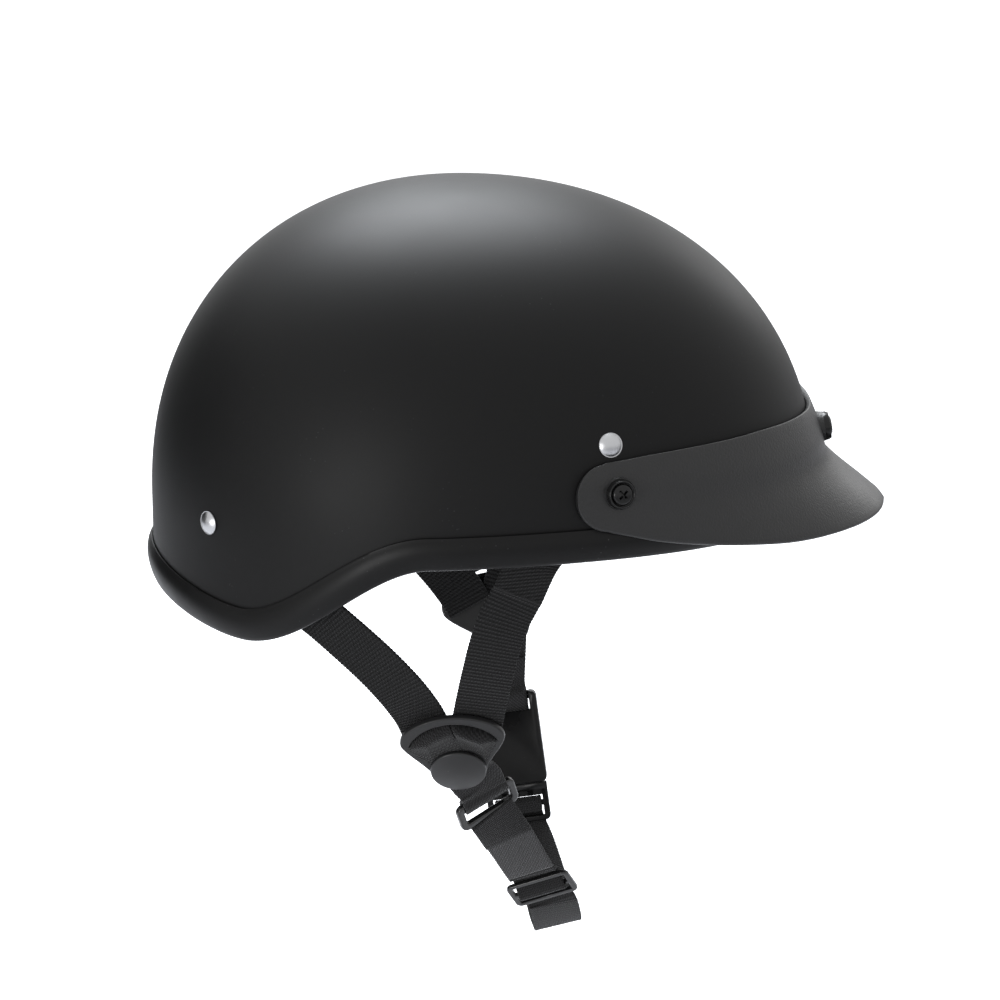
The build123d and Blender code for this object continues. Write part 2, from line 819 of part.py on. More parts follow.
def make_cap():
    # The cap covers the plate's stem, which clamps the lower strap to the plate
    base = plate_thickness + hole_gap
    tail = -plate_gap - stack_gap - webbing_thickness - cap_washer_thickness
    shape = turned((
        (0, 0, base + cap_height), (0, 0, tail), (cap_stem_radius, 0, tail), (cap_stem_radius, 0, base),
        (cap_radius, 0, base), (cap_radius, 0, base + cap_height - cap_crown - cap_edge),
        (cap_radius - cap_edge, 0, base + cap_height - cap_crown),
    ))
    return Pos(0, -cap_drop, 0) * shape


def make_cap_washer():
    top = -plate_gap - stack_gap - webbing_thickness
    ring = Cylinder(cap_washer_radius, cap_washer_thickness) - Cylinder(cap_stem_radius + hole_gap, overrun)
    return Pos(0, -cap_drop, top - cap_washer_thickness / 2) * ring


plate_frames = {
    "right": plate_frame(right_plate_x, right_plate_drop, right_plate_turn, -1),
    "left": plate_frame(left_plate_x, left_plate_drop, left_plate_turn, 1),
}


# Strap ring

ring_across = unit(ring_across_shares)
ring_normal = ring_across.cross(unit(ring_up_shares))
ring_frame = Plane(origin=(ring_x, ring_y, ring_z), x_dir=ring_across, z_dir=ring_normal)
ring_bar_offset = (ring_height - ring_bar) / 2
ring_eye_radius = bar_radius(ring_bar, ring_bar, ring_fillet)


def make_ring():
    outer = RectangleRounded(ring_length, ring_height, ring_corner)
    inner = RectangleRounded(ring_length - ring_bar * 2, ring_height - ring_bar * 2, ring_corner / 3)
    blank = extrude(outer - inner, ring_bar / 2, both=True)
    faces = blank.faces().sort_by(Axis.Z)
    return fillet(faces[0].edges() + faces[-1].edges(), ring_fillet)


# Tri-glide

glide_across = unit(glide_across_shares)
glide_normal = glide_across.cross(unit(glide_up_shares))
glide_frame = Plane(origin=(glide_x, glide_y, glide_z), x_dir=glide_across, z_dir=glide_normal)
glide_pitch = glide_bar + glide_slot


def make_glide():
    height = glide_pitch * 2 + glide_bar
    outline = RectangleRounded(glide_length, height, glide_corner)
    slot = Rectangle(glide_length - glide_bar * 2 - glide_bar / 2, glide_slot)
    for way in (-1, 1):
        outline -= Pos(0, way * glide_pitch / 2) * slot
    blank = extrude(outline, glide_thickness / 2, both=True)
    faces = blank.faces().sort_by(Axis.Z)
    return fillet(faces[0].edges() + faces[-1].edges(), glide_fillet)


# Buckle: local X runs across the strap, Y out of the mouth and Z away from the face

buckle_across = unit(buckle_across_shares)
buckle_normal = buckle_across.cross(unit(buckle_out_shares))
buckle_frame = Plane(origin=(buckle_x, buckle_y, buckle_z), x_dir=buckle_across, z_dir=buckle_normal)
web_slot_half = webbing_width / 2 + buckle_slot_margin
female_bar_y = -buckle_length + buckle_bar / 2
female_eye_radius = bar_radius(buckle_bar, buckle_bar_thickness, buckle_bar_fillet)
male_eye_radius = bar_radius(tongue_bar, tongue_thickness, tongue_fillet)


def block(x_half, y_from, y_to, z_from, z_to):
    size = (x_half * 2, y_to - y_from, z_to - z_from)
    return Pos(0, (y_from + y_to) / 2, (z_from + z_to) / 2) * Box(*size)


def make_buckle_female():
    half = buckle_thickness / 2
    body = block(buckle_half_width, -buckle_length, 0, -half, half)
    body = fillet(body.edges().filter_by(Axis.Z), buckle_corner)
    body = fillet(body.faces().filter_by(Axis.Z).edges(), buckle_edge)
    body -= block(cavity_half_width, -cavity_depth, overrun, -cavity_half_height, cavity_half_height)
    window_low = -button_from_mouth - button_half_length - slide_gap
    window_high = -button_from_mouth + button_half_length + slide_gap
    body -= block(button_half_width + slide_gap, window_low, window_high, 0, overrun)
    slot_end = -buckle_length + buckle_bar + buckle_slot
    body -= block(web_slot_half, -buckle_length - overrun, slot_end, -overrun, overrun)
    bar = block(web_slot_half + buckle_bar / 2, -buckle_length, -buckle_length + buckle_bar,
                -buckle_bar_thickness / 2, buckle_bar_thickness / 2)
    bar = fillet(bar.edges().filter_by(Axis.X), buckle_bar_fillet)
    return body + bar


def make_button():
    flange_top = cavity_half_height - spring_gap
    flange_low = flange_top - button_flange_thickness
    low = -button_from_mouth - button_half_length
    high = -button_from_mouth + button_half_length
    cap = block(button_half_width, low, high, flange_low, buckle_thickness / 2 + button_proud)
    cap = fillet(cap.edges().filter_by(Axis.Z), button_proud * 3)
    cap = fillet(cap.faces().sort_by(Axis.Z)[-1].edges(), button_proud / 2)
    flange = block(button_half_width + button_flange, low - button_flange, high + button_flange,
                   flange_low, flange_top)
    return cap + flange


def make_spring():
    # A leaf from the end of the cavity to under the button
    top = cavity_half_height - spring_gap * 2 - button_flange_thickness
    low = top - spring_thickness
    end = -cavity_depth + spring_gap
    leaf = block(spring_half_width, end, -spring_tip, low, top)
    foot = block(spring_half_width, end, end + spring_thickness, -cavity_half_height + spring_gap, top)
    return leaf + foot


def make_buckle_male():
    half = tongue_thickness / 2
    leg_outer = cavity_half_width - slide_gap
    leg_half = cavity_half_height - slide_gap
    legs = block(leg_outer, -tongue_length, slide_gap, -leg_half, leg_half)
    legs -= block(leg_outer - tongue_leg, -tongue_length - overrun, slide_gap * 2, -overrun, overrun)
    tip = block(leg_outer, -tongue_length, -tongue_length + tongue_tip, -leg_half, 0)
    root = block(tongue_base_half_width, slide_gap, slide_gap + tongue_root, -leg_half, leg_half)
    bar_low = tongue_bar_from_mouth - tongue_bar / 2
    bar_high = tongue_bar_from_mouth + tongue_bar / 2
    end = bar_high + tongue_slot + tongue_bar
    frame = block(tongue_base_half_width, slide_gap, end, -half, half)
    frame = fillet(frame.edges().filter_by(Axis.Z), tongue_bar)
    frame -= block(web_slot_half, slide_gap + tongue_root, bar_low, -overrun, overrun)
    frame -= block(web_slot_half, bar_high, end - tongue_bar, -overrun, overrun)
    across = frame.edges().filter_by(Axis.X)
    frame = fillet(across.filter_by(lambda edge: edge.center().Y > bar_low - tongue_fillet), tongue_fillet)
    shape = legs + tip + root + frame
    rib_end = slide_gap + tongue_root + tongue_rib_length
    for way in (-1, 1):
        rib = block(tongue_rib_width / 2, slide_gap, rib_end, -half, half)
        shape += Pos(way * tongue_rib_spacing, 0, 0) * rib
    return shape


# Lower straps: from behind each plate to the ring on the right and the buckle on the left

def plate_spot(frame, x, y):
    return frame.from_local_coords((x, y, -plate_gap - webbing_thickness / 2))


def lower_route(frame, bar, up, normal):
    start = plate_spot(frame, 0, -cap_drop + plate_strap_overlap)
    below = plate_spot(frame, 0, -cap_drop - cap_radius - eye_gap)
    last = bar + up * webbing_tail / 2
    centres = [start, plate_spot(frame, 0, -cap_drop), below, last, bar]
    home = Vector(frame.z_dir)
    shares = (0, 0, 0, 1, 1)
    return centres, [(home * (1 - share) + normal * share).normalized() for share in shares]


def make_lower_strap(frame, eye_plane, radius):
    up = Vector(eye_plane.y_dir)
    normal = Vector(eye_plane.z_dir)
    centres, normals = lower_route(frame, Vector(eye_plane.origin), up, normal)
    strap = ribbon(centres, normals) + eye(eye_plane, radius)
    stem = drill(frame * Pos(0, -cap_drop, 0), cap_stem_radius + hole_gap, overrun)
    return strap - eye_bore(eye_plane, radius) - stem


ring_top_plane = Plane(
    origin=ring_frame.from_local_coords((0, ring_bar_offset, 0)), x_dir=ring_across, z_dir=ring_normal)
ring_low_plane = Plane(
    origin=ring_frame.from_local_coords((0, -ring_bar_offset, 0)), x_dir=ring_across, z_dir=ring_normal)
female_bar_plane = Plane(
    origin=buckle_frame.from_local_coords((0, female_bar_y, 0)), x_dir=-buckle_across, z_dir=buckle_normal)
male_bar_plane = Plane(
    origin=buckle_frame.from_local_coords((0, tongue_bar_from_mouth, 0)), x_dir=buckle_across,
    z_dir=buckle_normal)


# Chin strap: doubled from the ring to the tri-glide, woven through it and on to the tongue

def chin_spot(shares):
    return Vector(shares[0] * chin_reach, shares[1] * chin_span, shares[2] * chin_drop)


def glide_weave():
    depth = glide_thickness / 2 + glide_weave_gap + webbing_thickness / 2
    spots = []
    for step in range(-4, 5):
        way = step / 2
        lift = cos(pi * way) if abs(way) <= 1 else (cos(pi * way) - 1) / 2
        spots.append(glide_frame.from_local_coords((0, -way * glide_pitch, lift * depth)))
    return spots


def blend(first, last, share):
    return (first * (1 - share) + last * share).normalized()


def make_chin_strap():
    upper = [chin_spot(shares) for shares in chin_shares]
    lower = [chin_spot(shares) for shares in chin_low_shares]
    weave = glide_weave()
    end_lift = tongue_thickness / 2 + tongue_wrap_gap + webbing_thickness / 2
    end_y = tongue_bar_from_mouth + tongue_bar + tongue_slot
    over_end = buckle_frame.from_local_coords((0, end_y, end_lift))
    bar = Vector(male_bar_plane.origin)
    start = Vector(ring_low_plane.origin)
    lap = [start, *upper, weave[0]]
    centres = [start, *upper, *weave, *lower, over_end, bar]
    count = len(upper) + 1
    acrosses = [blend(ring_across, glide_across, index / count) for index in range(count)]
    acrosses += [glide_across] * len(weave)
    turns = len(lower) + 1
    acrosses += [blend(glide_across, buckle_across, (index + 1) / turns) for index in range(turns)]
    acrosses.append(buckle_across)
    strap = ribbon(centres, across_normals(centres, acrosses))
    doubled = ribbon(lap, across_normals(lap, acrosses[:len(lap)]), chin_lap_thickness)
    strap = strap + doubled + eye(ring_low_plane, ring_eye_radius) + eye(male_bar_plane, male_eye_radius)
    return strap - eye_bore(ring_low_plane, ring_eye_radius) - eye_bore(male_bar_plane, male_eye_radius)


def build_parts():
    parts = {
        "outer_shell": make_shell(),
        "edge_trim": make_trim(),
        "impact_liner": make_foam(),
        "comfort_liner": make_cloth(),
        "brow_pad": pad(-brow_pad_angle, brow_pad_angle, brow_pad_height, brow_pad_thickness),
        "nape_pad": pad(180 - nape_pad_angle, 180 + nape_pad_angle, nape_pad_height, nape_pad_thickness),
        "crown_pad": make_crown_pad(),
        "peak": make_peak(),
    }
    left_pad = pad(side_pad_front_angle, side_pad_rear_angle, side_pad_height, side_pad_thickness)
    parts["side_pad_left"] = left_pad
    parts["side_pad_right"] = mirror(left_pad, Plane.XZ)
    for name, seat in rivet_seats.items():
        parts[f"rivet_{name}"] = seat * make_rivet()
        parts[f"rivet_washer_{name}"] = seat * make_rivet_washer()
    for name, seat in peak_seats.items():
        parts[f"peak_screw_{name}"] = seat * make_screw(peak_lifts[name])
        parts[f"peak_cup_{name}"] = seat * make_cup(peak_lifts[name])
        parts[f"peak_nut_{name}"] = seat * make_nut()
    strap_shares = {
        "right": (-1, right_front_shares, right_rear_shares),
        "left": (1, left_front_shares, left_rear_shares),
    }
    for name, (side, front_shares, rear_shares) in strap_shares.items():
        parts[f"front_strap_{name}"] = make_strap(
            f"front_{name}", front_rivet_x, front_rivet_z, front_shares, side, 0)
        parts[f"rear_strap_{name}"] = make_strap(
            f"rear_{name}", rear_rivet_x, rear_rivet_z, rear_shares, side, 1)
        parts[f"strap_plate_{name}"] = plate_frames[name] * make_plate()
        parts[f"plate_cap_{name}"] = plate_frames[name] * make_cap()
        parts[f"plate_washer_{name}"] = plate_frames[name] * make_cap_washer()
    parts["lower_strap_right"] = make_lower_strap(plate_frames["right"], ring_top_plane, ring_eye_radius)
    parts["lower_strap_left"] = make_lower_strap(plate_frames["left"], female_bar_plane, female_eye_radius)
    parts["strap_ring"] = ring_frame * make_ring()
    parts["chin_strap"] = make_chin_strap()
    parts["tri_glide"] = glide_frame * make_glide()
    parts["buckle_female"] = buckle_frame * make_buckle_female()
    parts["buckle_male"] = buckle_frame * make_buckle_male()
    parts["buckle_button"] = buckle_frame * make_button()
    parts["button_spring"] = buckle_frame * make_spring()
    return parts


os.makedirs("parts", exist_ok=True)
for node, shape in build_parts().items():
    export_step(shape, f"parts/{node}.step")
    print(node, "volume", round(shape.volume))
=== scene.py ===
import json
from math import asin, atan2, cos, degrees, exp, hypot, pi, radians, sin, sqrt, tau

import bpy
from mathutils import Matrix, Vector


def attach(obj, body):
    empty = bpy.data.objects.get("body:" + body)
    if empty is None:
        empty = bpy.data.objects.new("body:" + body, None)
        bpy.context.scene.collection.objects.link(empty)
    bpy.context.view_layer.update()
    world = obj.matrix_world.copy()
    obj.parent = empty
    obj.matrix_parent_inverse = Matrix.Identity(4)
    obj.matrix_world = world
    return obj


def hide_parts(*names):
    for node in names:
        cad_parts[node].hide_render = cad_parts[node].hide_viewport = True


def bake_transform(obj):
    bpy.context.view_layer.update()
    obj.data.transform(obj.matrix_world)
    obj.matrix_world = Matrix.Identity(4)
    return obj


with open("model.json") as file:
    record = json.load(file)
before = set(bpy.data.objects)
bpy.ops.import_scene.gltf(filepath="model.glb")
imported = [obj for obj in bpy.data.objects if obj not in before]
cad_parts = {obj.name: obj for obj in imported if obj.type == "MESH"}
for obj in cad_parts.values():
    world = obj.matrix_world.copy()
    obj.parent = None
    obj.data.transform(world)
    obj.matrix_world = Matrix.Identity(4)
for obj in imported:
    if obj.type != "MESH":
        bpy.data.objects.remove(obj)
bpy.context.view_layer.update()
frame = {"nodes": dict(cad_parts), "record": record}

mm = 0.001
scene = bpy.context.scene
scene.view_settings.view_transform = "Standard"
print("frame loaded")


def newObject(name, data):
    item = bpy.data.objects.new(name, data)
    scene.collection.objects.link(item)
    return item


# Camera at the photograph's viewing angle

cameraSetup = {"elevation": 17.0, "target": (15.8, 0.0, -6.0), "distance": 1500.0, "lens": 132.95,
               "sensor": 36.0, "clip": 60.0}


def placeCamera(setup):
    rise = radians(setup["elevation"])
    back = Vector((0, -cos(rise), sin(rise)))
    data = bpy.data.cameras.new("camera")
    data.lens, data.sensor_width, data.clip_end = setup["lens"], setup["sensor"], setup["clip"]
    scene.camera = newObject("camera", data)
    scene.camera.location = (Vector(setup["target"]) + back * setup["distance"]) * mm
    scene.camera.rotation_euler = back.to_track_quat("Z", "Y").to_euler()


placeCamera(cameraSetup)
print("camera placed")


# Node helpers

def setInput(tree, socket, value):
    if isinstance(value, bpy.types.NodeSocket):
        tree.links.new(value, socket)
    else:
        socket.default_value = value


def addNode(tree, kind, values=None, **settings):
    # Values are keyed by the name or the number of an input
    node = tree.nodes.new(kind)
    for name, value in settings.items():
        setattr(node, name, value)
    for name, value in (values or {}).items():
        setInput(tree, node.inputs[name], value)
    return node


def calc(tree, operation, first, second=0.0):
    return addNode(tree, "ShaderNodeMath", {0: first, 1: second}, operation=operation).outputs[0]


def remap(tree, *values):
    # Values are the input, from low, from high, to low and to high
    return addNode(tree, "ShaderNodeMapRange", dict(enumerate(values))).outputs["Result"]


def blendColour(tree, share, first, second):
    return addNode(tree, "ShaderNodeMix", {0: share, 6: first, 7: second}, data_type="RGBA").outputs[2]


def noise(tree, place, scale, detail, rough=0.5):
    values = {"Vector": place, "Scale": scale, "Detail": detail, "Roughness": rough}
    return addNode(tree, "ShaderNodeTexNoise", values).outputs["Fac"]


def cells(tree, place, scale, **settings):
    values = {"Vector": place, "Scale": scale}
    return addNode(tree, "ShaderNodeTexVoronoi", values, **settings).outputs["Distance"]


def objectPlace(tree):
    return addNode(tree, "ShaderNodeTexCoord").outputs["Object"]


def grey(level):
    return (level, level, level * 1.03, 1.0)


def spaced(label):
    return label.replace("_", " ")


def newGroup(name, **inputs):
    group = bpy.data.node_groups.new(name, "ShaderNodeTree")
    for label, default in inputs.items():
        socket = group.interface.new_socket(spaced(label), in_out="INPUT", socket_type="NodeSocketFloat")
        socket.default_value = default
    return group, group.nodes.new("NodeGroupInput").outputs


def closeGroup(group, **results):
    for label in results:
        group.interface.new_socket(label, in_out="OUTPUT", socket_type="NodeSocketFloat")
    end = group.nodes.new("NodeGroupOutput")
    for label, value in results.items():
        group.links.new(value, end.inputs[label])
    return group


def placeGroup(tree, group, **values):
    node = addNode(tree, "ShaderNodeGroup", node_tree=group)
    for label, value in values.items():
        setInput(tree, node.inputs[spaced(label)], value)
    return node.outputs


# Shared effects

def makeGrainGroup():
    group, given = newGroup("mouldGrain", Grain=900.0, Patch=25.0)
    place = objectPlace(group)
    return closeGroup(group, Height=noise(group, place, given["Grain"], 2.0, 0.6),
                      Patchiness=noise(group, place, given["Patch"], 3.0, 0.55))


def makeDustGroup():
    group, given = newGroup("surfaceDust", Speck=420.0, Amount=0.5)
    place = objectPlace(group)
    near = remap(group, cells(group, place, given["Speck"]), 0.05, 0.14, 1.0, 0.0)
    gate = remap(group, noise(group, place, 60.0, 2.0), 0.55, 0.7, 0.0, 1.0)
    mask = calc(group, "MULTIPLY", calc(group, "MULTIPLY", near, gate), given["Amount"])
    return closeGroup(group, Mask=mask)


def makeWeaveGroup():
    # The UV map of the webbing is in millimetres: across, then along
    group, given = newGroup("webbingWeave", Rib=1.6, Yarn=1.1, Slope=0.6, Rib_Depth=0.6)
    place = addNode(group, "ShaderNodeUVMap", uv_map="weave").outputs["UV"]
    parts = addNode(group, "ShaderNodeSeparateXYZ", {"Vector": place}).outputs
    ribs = calc(group, "DIVIDE", parts["Y"], given["Rib"])
    slanted = calc(group, "ADD", parts["X"], calc(group, "MULTIPLY", parts["Y"], given["Slope"]))
    yarns = calc(group, "DIVIDE", slanted, given["Yarn"])
    rib = calc(group, "COSINE", calc(group, "MULTIPLY", ribs, tau))
    yarn = calc(group, "SINE", calc(group, "MULTIPLY", yarns, tau))
    warp = calc(group, "SINE", calc(group, "MULTIPLY", parts["X"], tau / 0.8))
    fuzz = noise(group, place, 5.0, 3.0, 0.7)
    shares = ((rib, given["Rib Depth"]), (yarn, 0.35), (warp, 0.2), (fuzz, 0.5))
    heights = [calc(group, "MULTIPLY", part, share) for part, share in shares]
    height = calc(group, "ADD", calc(group, "ADD", *heights[:2]), calc(group, "ADD", *heights[2:]))
    return closeGroup(group, Height=height, Shade=remap(group, height, -1.0, 1.5, 0.0, 1.0))


grainGroup = makeGrainGroup()
dustGroup = makeDustGroup()
weaveGroup = makeWeaveGroup()


# Materials

def startMaterial(name, **settings):
    material = bpy.data.materials.new(name)
    material.use_nodes = True
    shader = material.node_tree.nodes["Principled BSDF"]
    for label, value in settings.items():
        shader.inputs[spaced(label)].default_value = value
    return material, material.node_tree, shader


def wireShader(parts, look, tone, height, rough=None):
    material, tree, shader = parts
    bump = addNode(tree, "ShaderNodeBump", {
        "Height": height, "Strength": look["bump"], "Distance": look["bumpDepth"] * mm})
    tree.links.new(tone, shader.inputs["Base Color"])
    tree.links.new(bump.outputs["Normal"], shader.inputs["Normal"])
    if rough:
        tree.links.new(rough, shader.inputs["Roughness"])
    return material


def grainyMaterial(name, look, tones, spread, **settings):
    # A tone and a roughness that vary softly, a grain, and some dust where the look has it
    parts = startMaterial(name, **settings)
    tree = parts[1]
    grain = placeGroup(tree, grainGroup, Grain=look["grain"], Patch=look["patch"])
    patchy = grain["Patchiness"]
    tone = blendColour(tree, patchy, *tones)
    if "dust" in look:
        tone = blendColour(tree, placeGroup(tree, dustGroup, Amount=look["dust"])["Mask"], tone, grey(0.2))
    rough = remap(tree, patchy, 0.3, 0.7, look["rough"] - spread[0], look["rough"] + spread[1])
    return wireShader(parts, look, tone, grain["Height"], rough)


toneSpread = 0.15      # how far the tone of a moulding varies each way


def mouldedMaterial(name, look):
    tones = grey(look["tone"] * (1 - toneSpread)), grey(look["tone"] * (1 + toneSpread))
    spread = [look["roughSpread"]] * 2
    return grainyMaterial(name, look, tones, spread, Specular_IOR_Level=look["specular"])


def metalMaterial(name, look):
    level = look["tone"]
    tones = (level * 0.92, level * 0.94, level * 0.97, 1), (level, level, level * 1.02, 1)
    return grainyMaterial(name, look, tones, (0.05, 0.08), Metallic=1.0)


def twoTones(parts, look, share, height):
    tone = blendColour(parts[1], share, grey(look["low"]), grey(look["high"]))
    return wireShader(parts, look, tone, height)


def webbingMaterial(name, look):
    parts = startMaterial(name, Roughness=0.85, Specular_IOR_Level=0.25, Sheen_Weight=look["sheen"],
                          Sheen_Roughness=0.4)
    weave = placeGroup(parts[1], weaveGroup, Rib=look["rib"], Yarn=look["yarn"], Slope=look["slope"],
                       Rib_Depth=look["ribDepth"])
    return twoTones(parts, look, weave["Shade"], weave["Height"])


def clothMaterial(name, look):
    # Brushed knitted lining: fine loops, soft creases and a sheen
    parts = startMaterial(name, Roughness=0.95, Specular_IOR_Level=0.2, Sheen_Weight=look["sheen"])
    tree = parts[1]
    place = objectPlace(tree)
    crease = noise(tree, place, 70.0, 4.0, 0.6)
    height = calc(tree, "ADD", cells(tree, place, look["loops"]), calc(tree, "MULTIPLY", crease, 1.5))
    return twoTones(parts, look, crease, height)


def beadFoamMaterial(name, look):
    # Moulded bead foam: packed beads with a dark line between them
    parts = startMaterial(name, Roughness=0.8, Specular_IOR_Level=0.3)
    tree = parts[1]
    edges = cells(tree, objectPlace(tree), look["beads"], feature="DISTANCE_TO_EDGE")
    line = remap(tree, edges, 0.0, 0.12, 0.0, 1.0)
    return twoTones(parts, look, line, line)


finishParts = ("tone", "rough", "roughSpread", "specular", "grain", "patch", "dust", "bump", "bumpDepth")
finishes = {
    "shell": (0.005, 0.5, 0.03, 0.17, 1500.0, 14.0, 0.1, 0.12, 0.12),
    "peak": (0.013, 0.42, 0.04, 0.42, 1150.0, 30.0, 0.15, 0.55, 0.35),
    "trim": (0.005, 0.4, 0.05, 0.17, 700.0, 45.0, 0.2, 0.15, 0.15),
    "plate": (0.016, 0.4, 0.05, 0.3, 1600.0, 90.0, 0.15, 0.25, 0.15),
    "cap": (0.018, 0.36, 0.04, 0.35, 2000.0, 90.0, 0.15, 0.2, 0.1),
    "screw": (0.006, 0.2, 0.04, 0.3, 1400.0, 120.0, 0.1, 0.2, 0.12),
    "nut": (0.03, 0.5, 0.05, 0.4, 1400.0, 120.0, 0.1, 0.2, 0.12),
    "hardware": (0.01, 0.24, 0.04, 0.6, 500.0, 110.0, 0.1, 0.1, 0.1),
    "buckle": (0.006, 0.3, 0.04, 0.2, 1500.0, 70.0, 0.1, 0.15, 0.12),
}
webbingParts = ("rib", "yarn", "slope", "ribDepth", "low", "high", "sheen", "bump", "bumpDepth")
webbingLooks = {
    "ribbedWebbing": (1.6, 1.3, 0.5, 0.8, 0.003, 0.017, 0.06, 0.8, 0.4),
    # Finer webbing for the slot folds; on the chin strap's lap, woven length and bow, the same strap as
    # chinTop, this darker look is painted shade
    "foldedWebbing": (0.9, 1.2, 0.9, 0.3, 0.003, 0.03, 0.12, 0.8, 0.4),
    "lowerWebbing": (0.8, 1.5, 1.0, 0.15, 0.004, 0.05, 0.2, 0.8, 0.4),
    # A lighter copy of lowerWebbing's weave with more sheen, for the chin strap's upper lengths: painted
    # highlight where the strap faces the light
    "twillWebbing": (0.8, 1.5, 1.0, 0.15, 0.008, 0.095, 0.3, 0.8, 0.4),
}
liningLook = {"loops": 1100.0, "low": 0.012, "high": 0.03, "sheen": 0.35, "bump": 0.6, "bumpDepth": 0.3}
foamLook = {"beads": 260.0, "low": 0.01, "high": 0.03, "bump": 0.6, "bumpDepth": 0.4}
zincLook = {"tone": 0.5, "rough": 0.32, "grain": 900.0, "patch": 160.0, "bump": 0.15, "bumpDepth": 0.1}

materials = {}
for name, row in finishes.items():
    materials[name] = mouldedMaterial(name + "Finish", dict(zip(finishParts, row)))
for name, row in webbingLooks.items():
    materials[name] = webbingMaterial(name, dict(zip(webbingParts, row)))
materials["webbing"] = materials["ribbedWebbing"]
materials["lining"] = clothMaterial("brushedLining", liningLook)
materials["foam"] = beadFoamMaterial("beadFoam", foamLook)
materials["rivet"] = materials["spring"] = metalMaterial("zincPlate", zincLook)
print("materials made")


# Mesh helpers: points are in millimetres and pieces are made in metres

def addMesh(name, points, faces, material=None):
    mesh = bpy.data.meshes.new(name)
    mesh.from_pydata([Vector(point) * mm for point in points], [], faces)
    if material:
        mesh.materials.append(material)
    return newObject(name, mesh)


def addPiece(name, points, faces, material, node=None, slotName=None, body="helmet", uvs=None,
             sharpAngle=None):
    piece = addMesh(name, points, faces, materials[material])
    mesh = piece.data
    mesh.update()
    mesh.shade_smooth()
    if sharpAngle:
        mesh.set_sharp_from_angle(angle=radians(sharpAngle))
    if uvs:
        layer = mesh.uv_layers.new(name="weave")
        for loop in mesh.loops:
            layer.data[loop.index].uv = uvs[loop.vertex_index]
    if body:      # a piece given no body is attached to none
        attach(piece, body)
    if node:
        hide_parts(node)
    return piece


def skinFaces(rowCount, width, closedRows=False):
    # Quads between closed sections, each a row of points
    faces = []
    for row in range(rowCount if closedRows else rowCount - 1):
        here, there = row * width, (row + 1) % rowCount * width
        for column in range(width):
            side = (column + 1) % width
            faces.append((here + column, here + side, there + side, there + column))
    if not closedRows:
        faces += [tuple(range(width - 1, -1, -1)), tuple(range((rowCount - 1) * width, rowCount * width))]
    return faces


def skinPiece(name, rows, material, node=None, closedRows=False, **options):
    points = [point for row in rows for point in row]
    return addPiece(name, points, skinFaces(len(rows), len(rows[0]), closedRows), material, node, **options)


def bowlMesh(lines, tips):
    # Points and faces of lines set round the crown, each end closed by a tip
    width = len(lines[0])
    points = [point for line in lines for point in line] + [Vector((0, 0, height)) for height in tips]
    starts = [(column * width, (column + 1) % len(lines) * width) for column in range(len(lines))]
    faces = [(here + row, there + row, there + row + 1, here + row + 1)
             for here, there in starts for row in range(width - 1)]
    for here, there in starts:
        faces += [(len(points) - 2, there, here), (len(points) - 1, here + width - 1, there + width - 1)]
    return points, faces


def evaluatedMesh(piece):
    bpy.context.view_layer.update()
    return bpy.data.meshes.new_from_object(piece.evaluated_get(bpy.context.evaluated_depsgraph_get()))


def applyModifiers(piece):
    mesh = evaluatedMesh(piece)
    piece.modifiers.clear()
    mesh.materials.clear()
    mesh.materials.append(piece.data.materials[0])
    piece.data = mesh


def steps(count, full=1.0):
    # Even steps from 0 to full, both ends included
    return [full * step / count for step in range(count + 1)]


def rounds(count):
    return steps(count, tau)[:-1]


def clamp(value, low=0.0, high=1.0):
    return min(max(value, low), high)


def polar(reach, turn, height=0.0):
    return Vector((reach * cos(turn), reach * sin(turn), height))


def arcSpots(x, y, wide, tall, turns):
    return [(x + wide * cos(turn), y + tall * sin(turn)) for turn in turns]


def levelOut(spot):
    # The level direction away from the crown's axis
    return Vector((spot.x, spot.y, 0)).normalized()


def swelling(share, end):
    # A half wave that starts and ends at a share of its way
    return sin(pi * (end + share * (1 - end * 2)))


def aheadAt(points, index):
    return points[min(index + 1, len(points) - 1)] - points[max(index - 1, 0)]


def smoothCurve(points, share):
    # A Catmull-Rom curve through the points, with the share counted by point
    last = len(points) - 1
    place = clamp(share) * last
    index = min(int(place), last - 1)
    local = place - index
    p1, p2 = points[index], points[index + 1]
    p0 = points[index - 1] if index > 0 else p1 * 2 - p2
    p3 = points[index + 2] if index + 2 <= last else p2 * 2 - p1
    return ((p1 * 2) + (p2 - p0) * local + (p0 * 2 - p1 * 5 + p2 * 4 - p3) * local ** 2
            + (p1 * 3 - p0 - p2 * 3 + p3) * local ** 3) * 0.5


def keyedValue(keys, place):
    # Smooth value at a place, from rows of (place, value)
    places, values = zip(*keys)
    if place <= places[0]:
        return values[0]
    if place >= places[-1]:
        return values[-1]
    index = max(i for i in range(len(places) - 1) if places[i] <= place)
    span = places[index + 1] - places[index]
    local = (place - places[index]) / span

    def slope(at):
        low, high = max(at - 1, 0), min(at + 1, len(places) - 1)
        return (values[high] - values[low]) / (places[high] - places[low])

    square, cube = local ** 2, local ** 3
    return (values[index] * (2 * cube - 3 * square + 1) + slope(index) * span * (cube - 2 * square + local)
            + values[index + 1] * (3 * square - 2 * cube) + slope(index + 1) * span * (cube - square))


# The dome and its rim line, as the solids have them

dome = {
    "front": 143.0, "rear": 125.0, "halfWidth": 110.0, "crown": 126.5, "power": 2.157, "wall": 3.5,
    "earStart": -10.0, "earEnd": -85.0, "napeDrop": 37.0, "napeTurn": -88.0, "napeRise": 6.5,
    "browArch": 1.5, "browEnd": 110.0, "napeCurve": 1.5,
}


def domeShare(height, inset=0.0):
    return (1 - clamp(height / (dome["crown"] - inset)) ** dome["power"]) ** (1 / dome["power"])


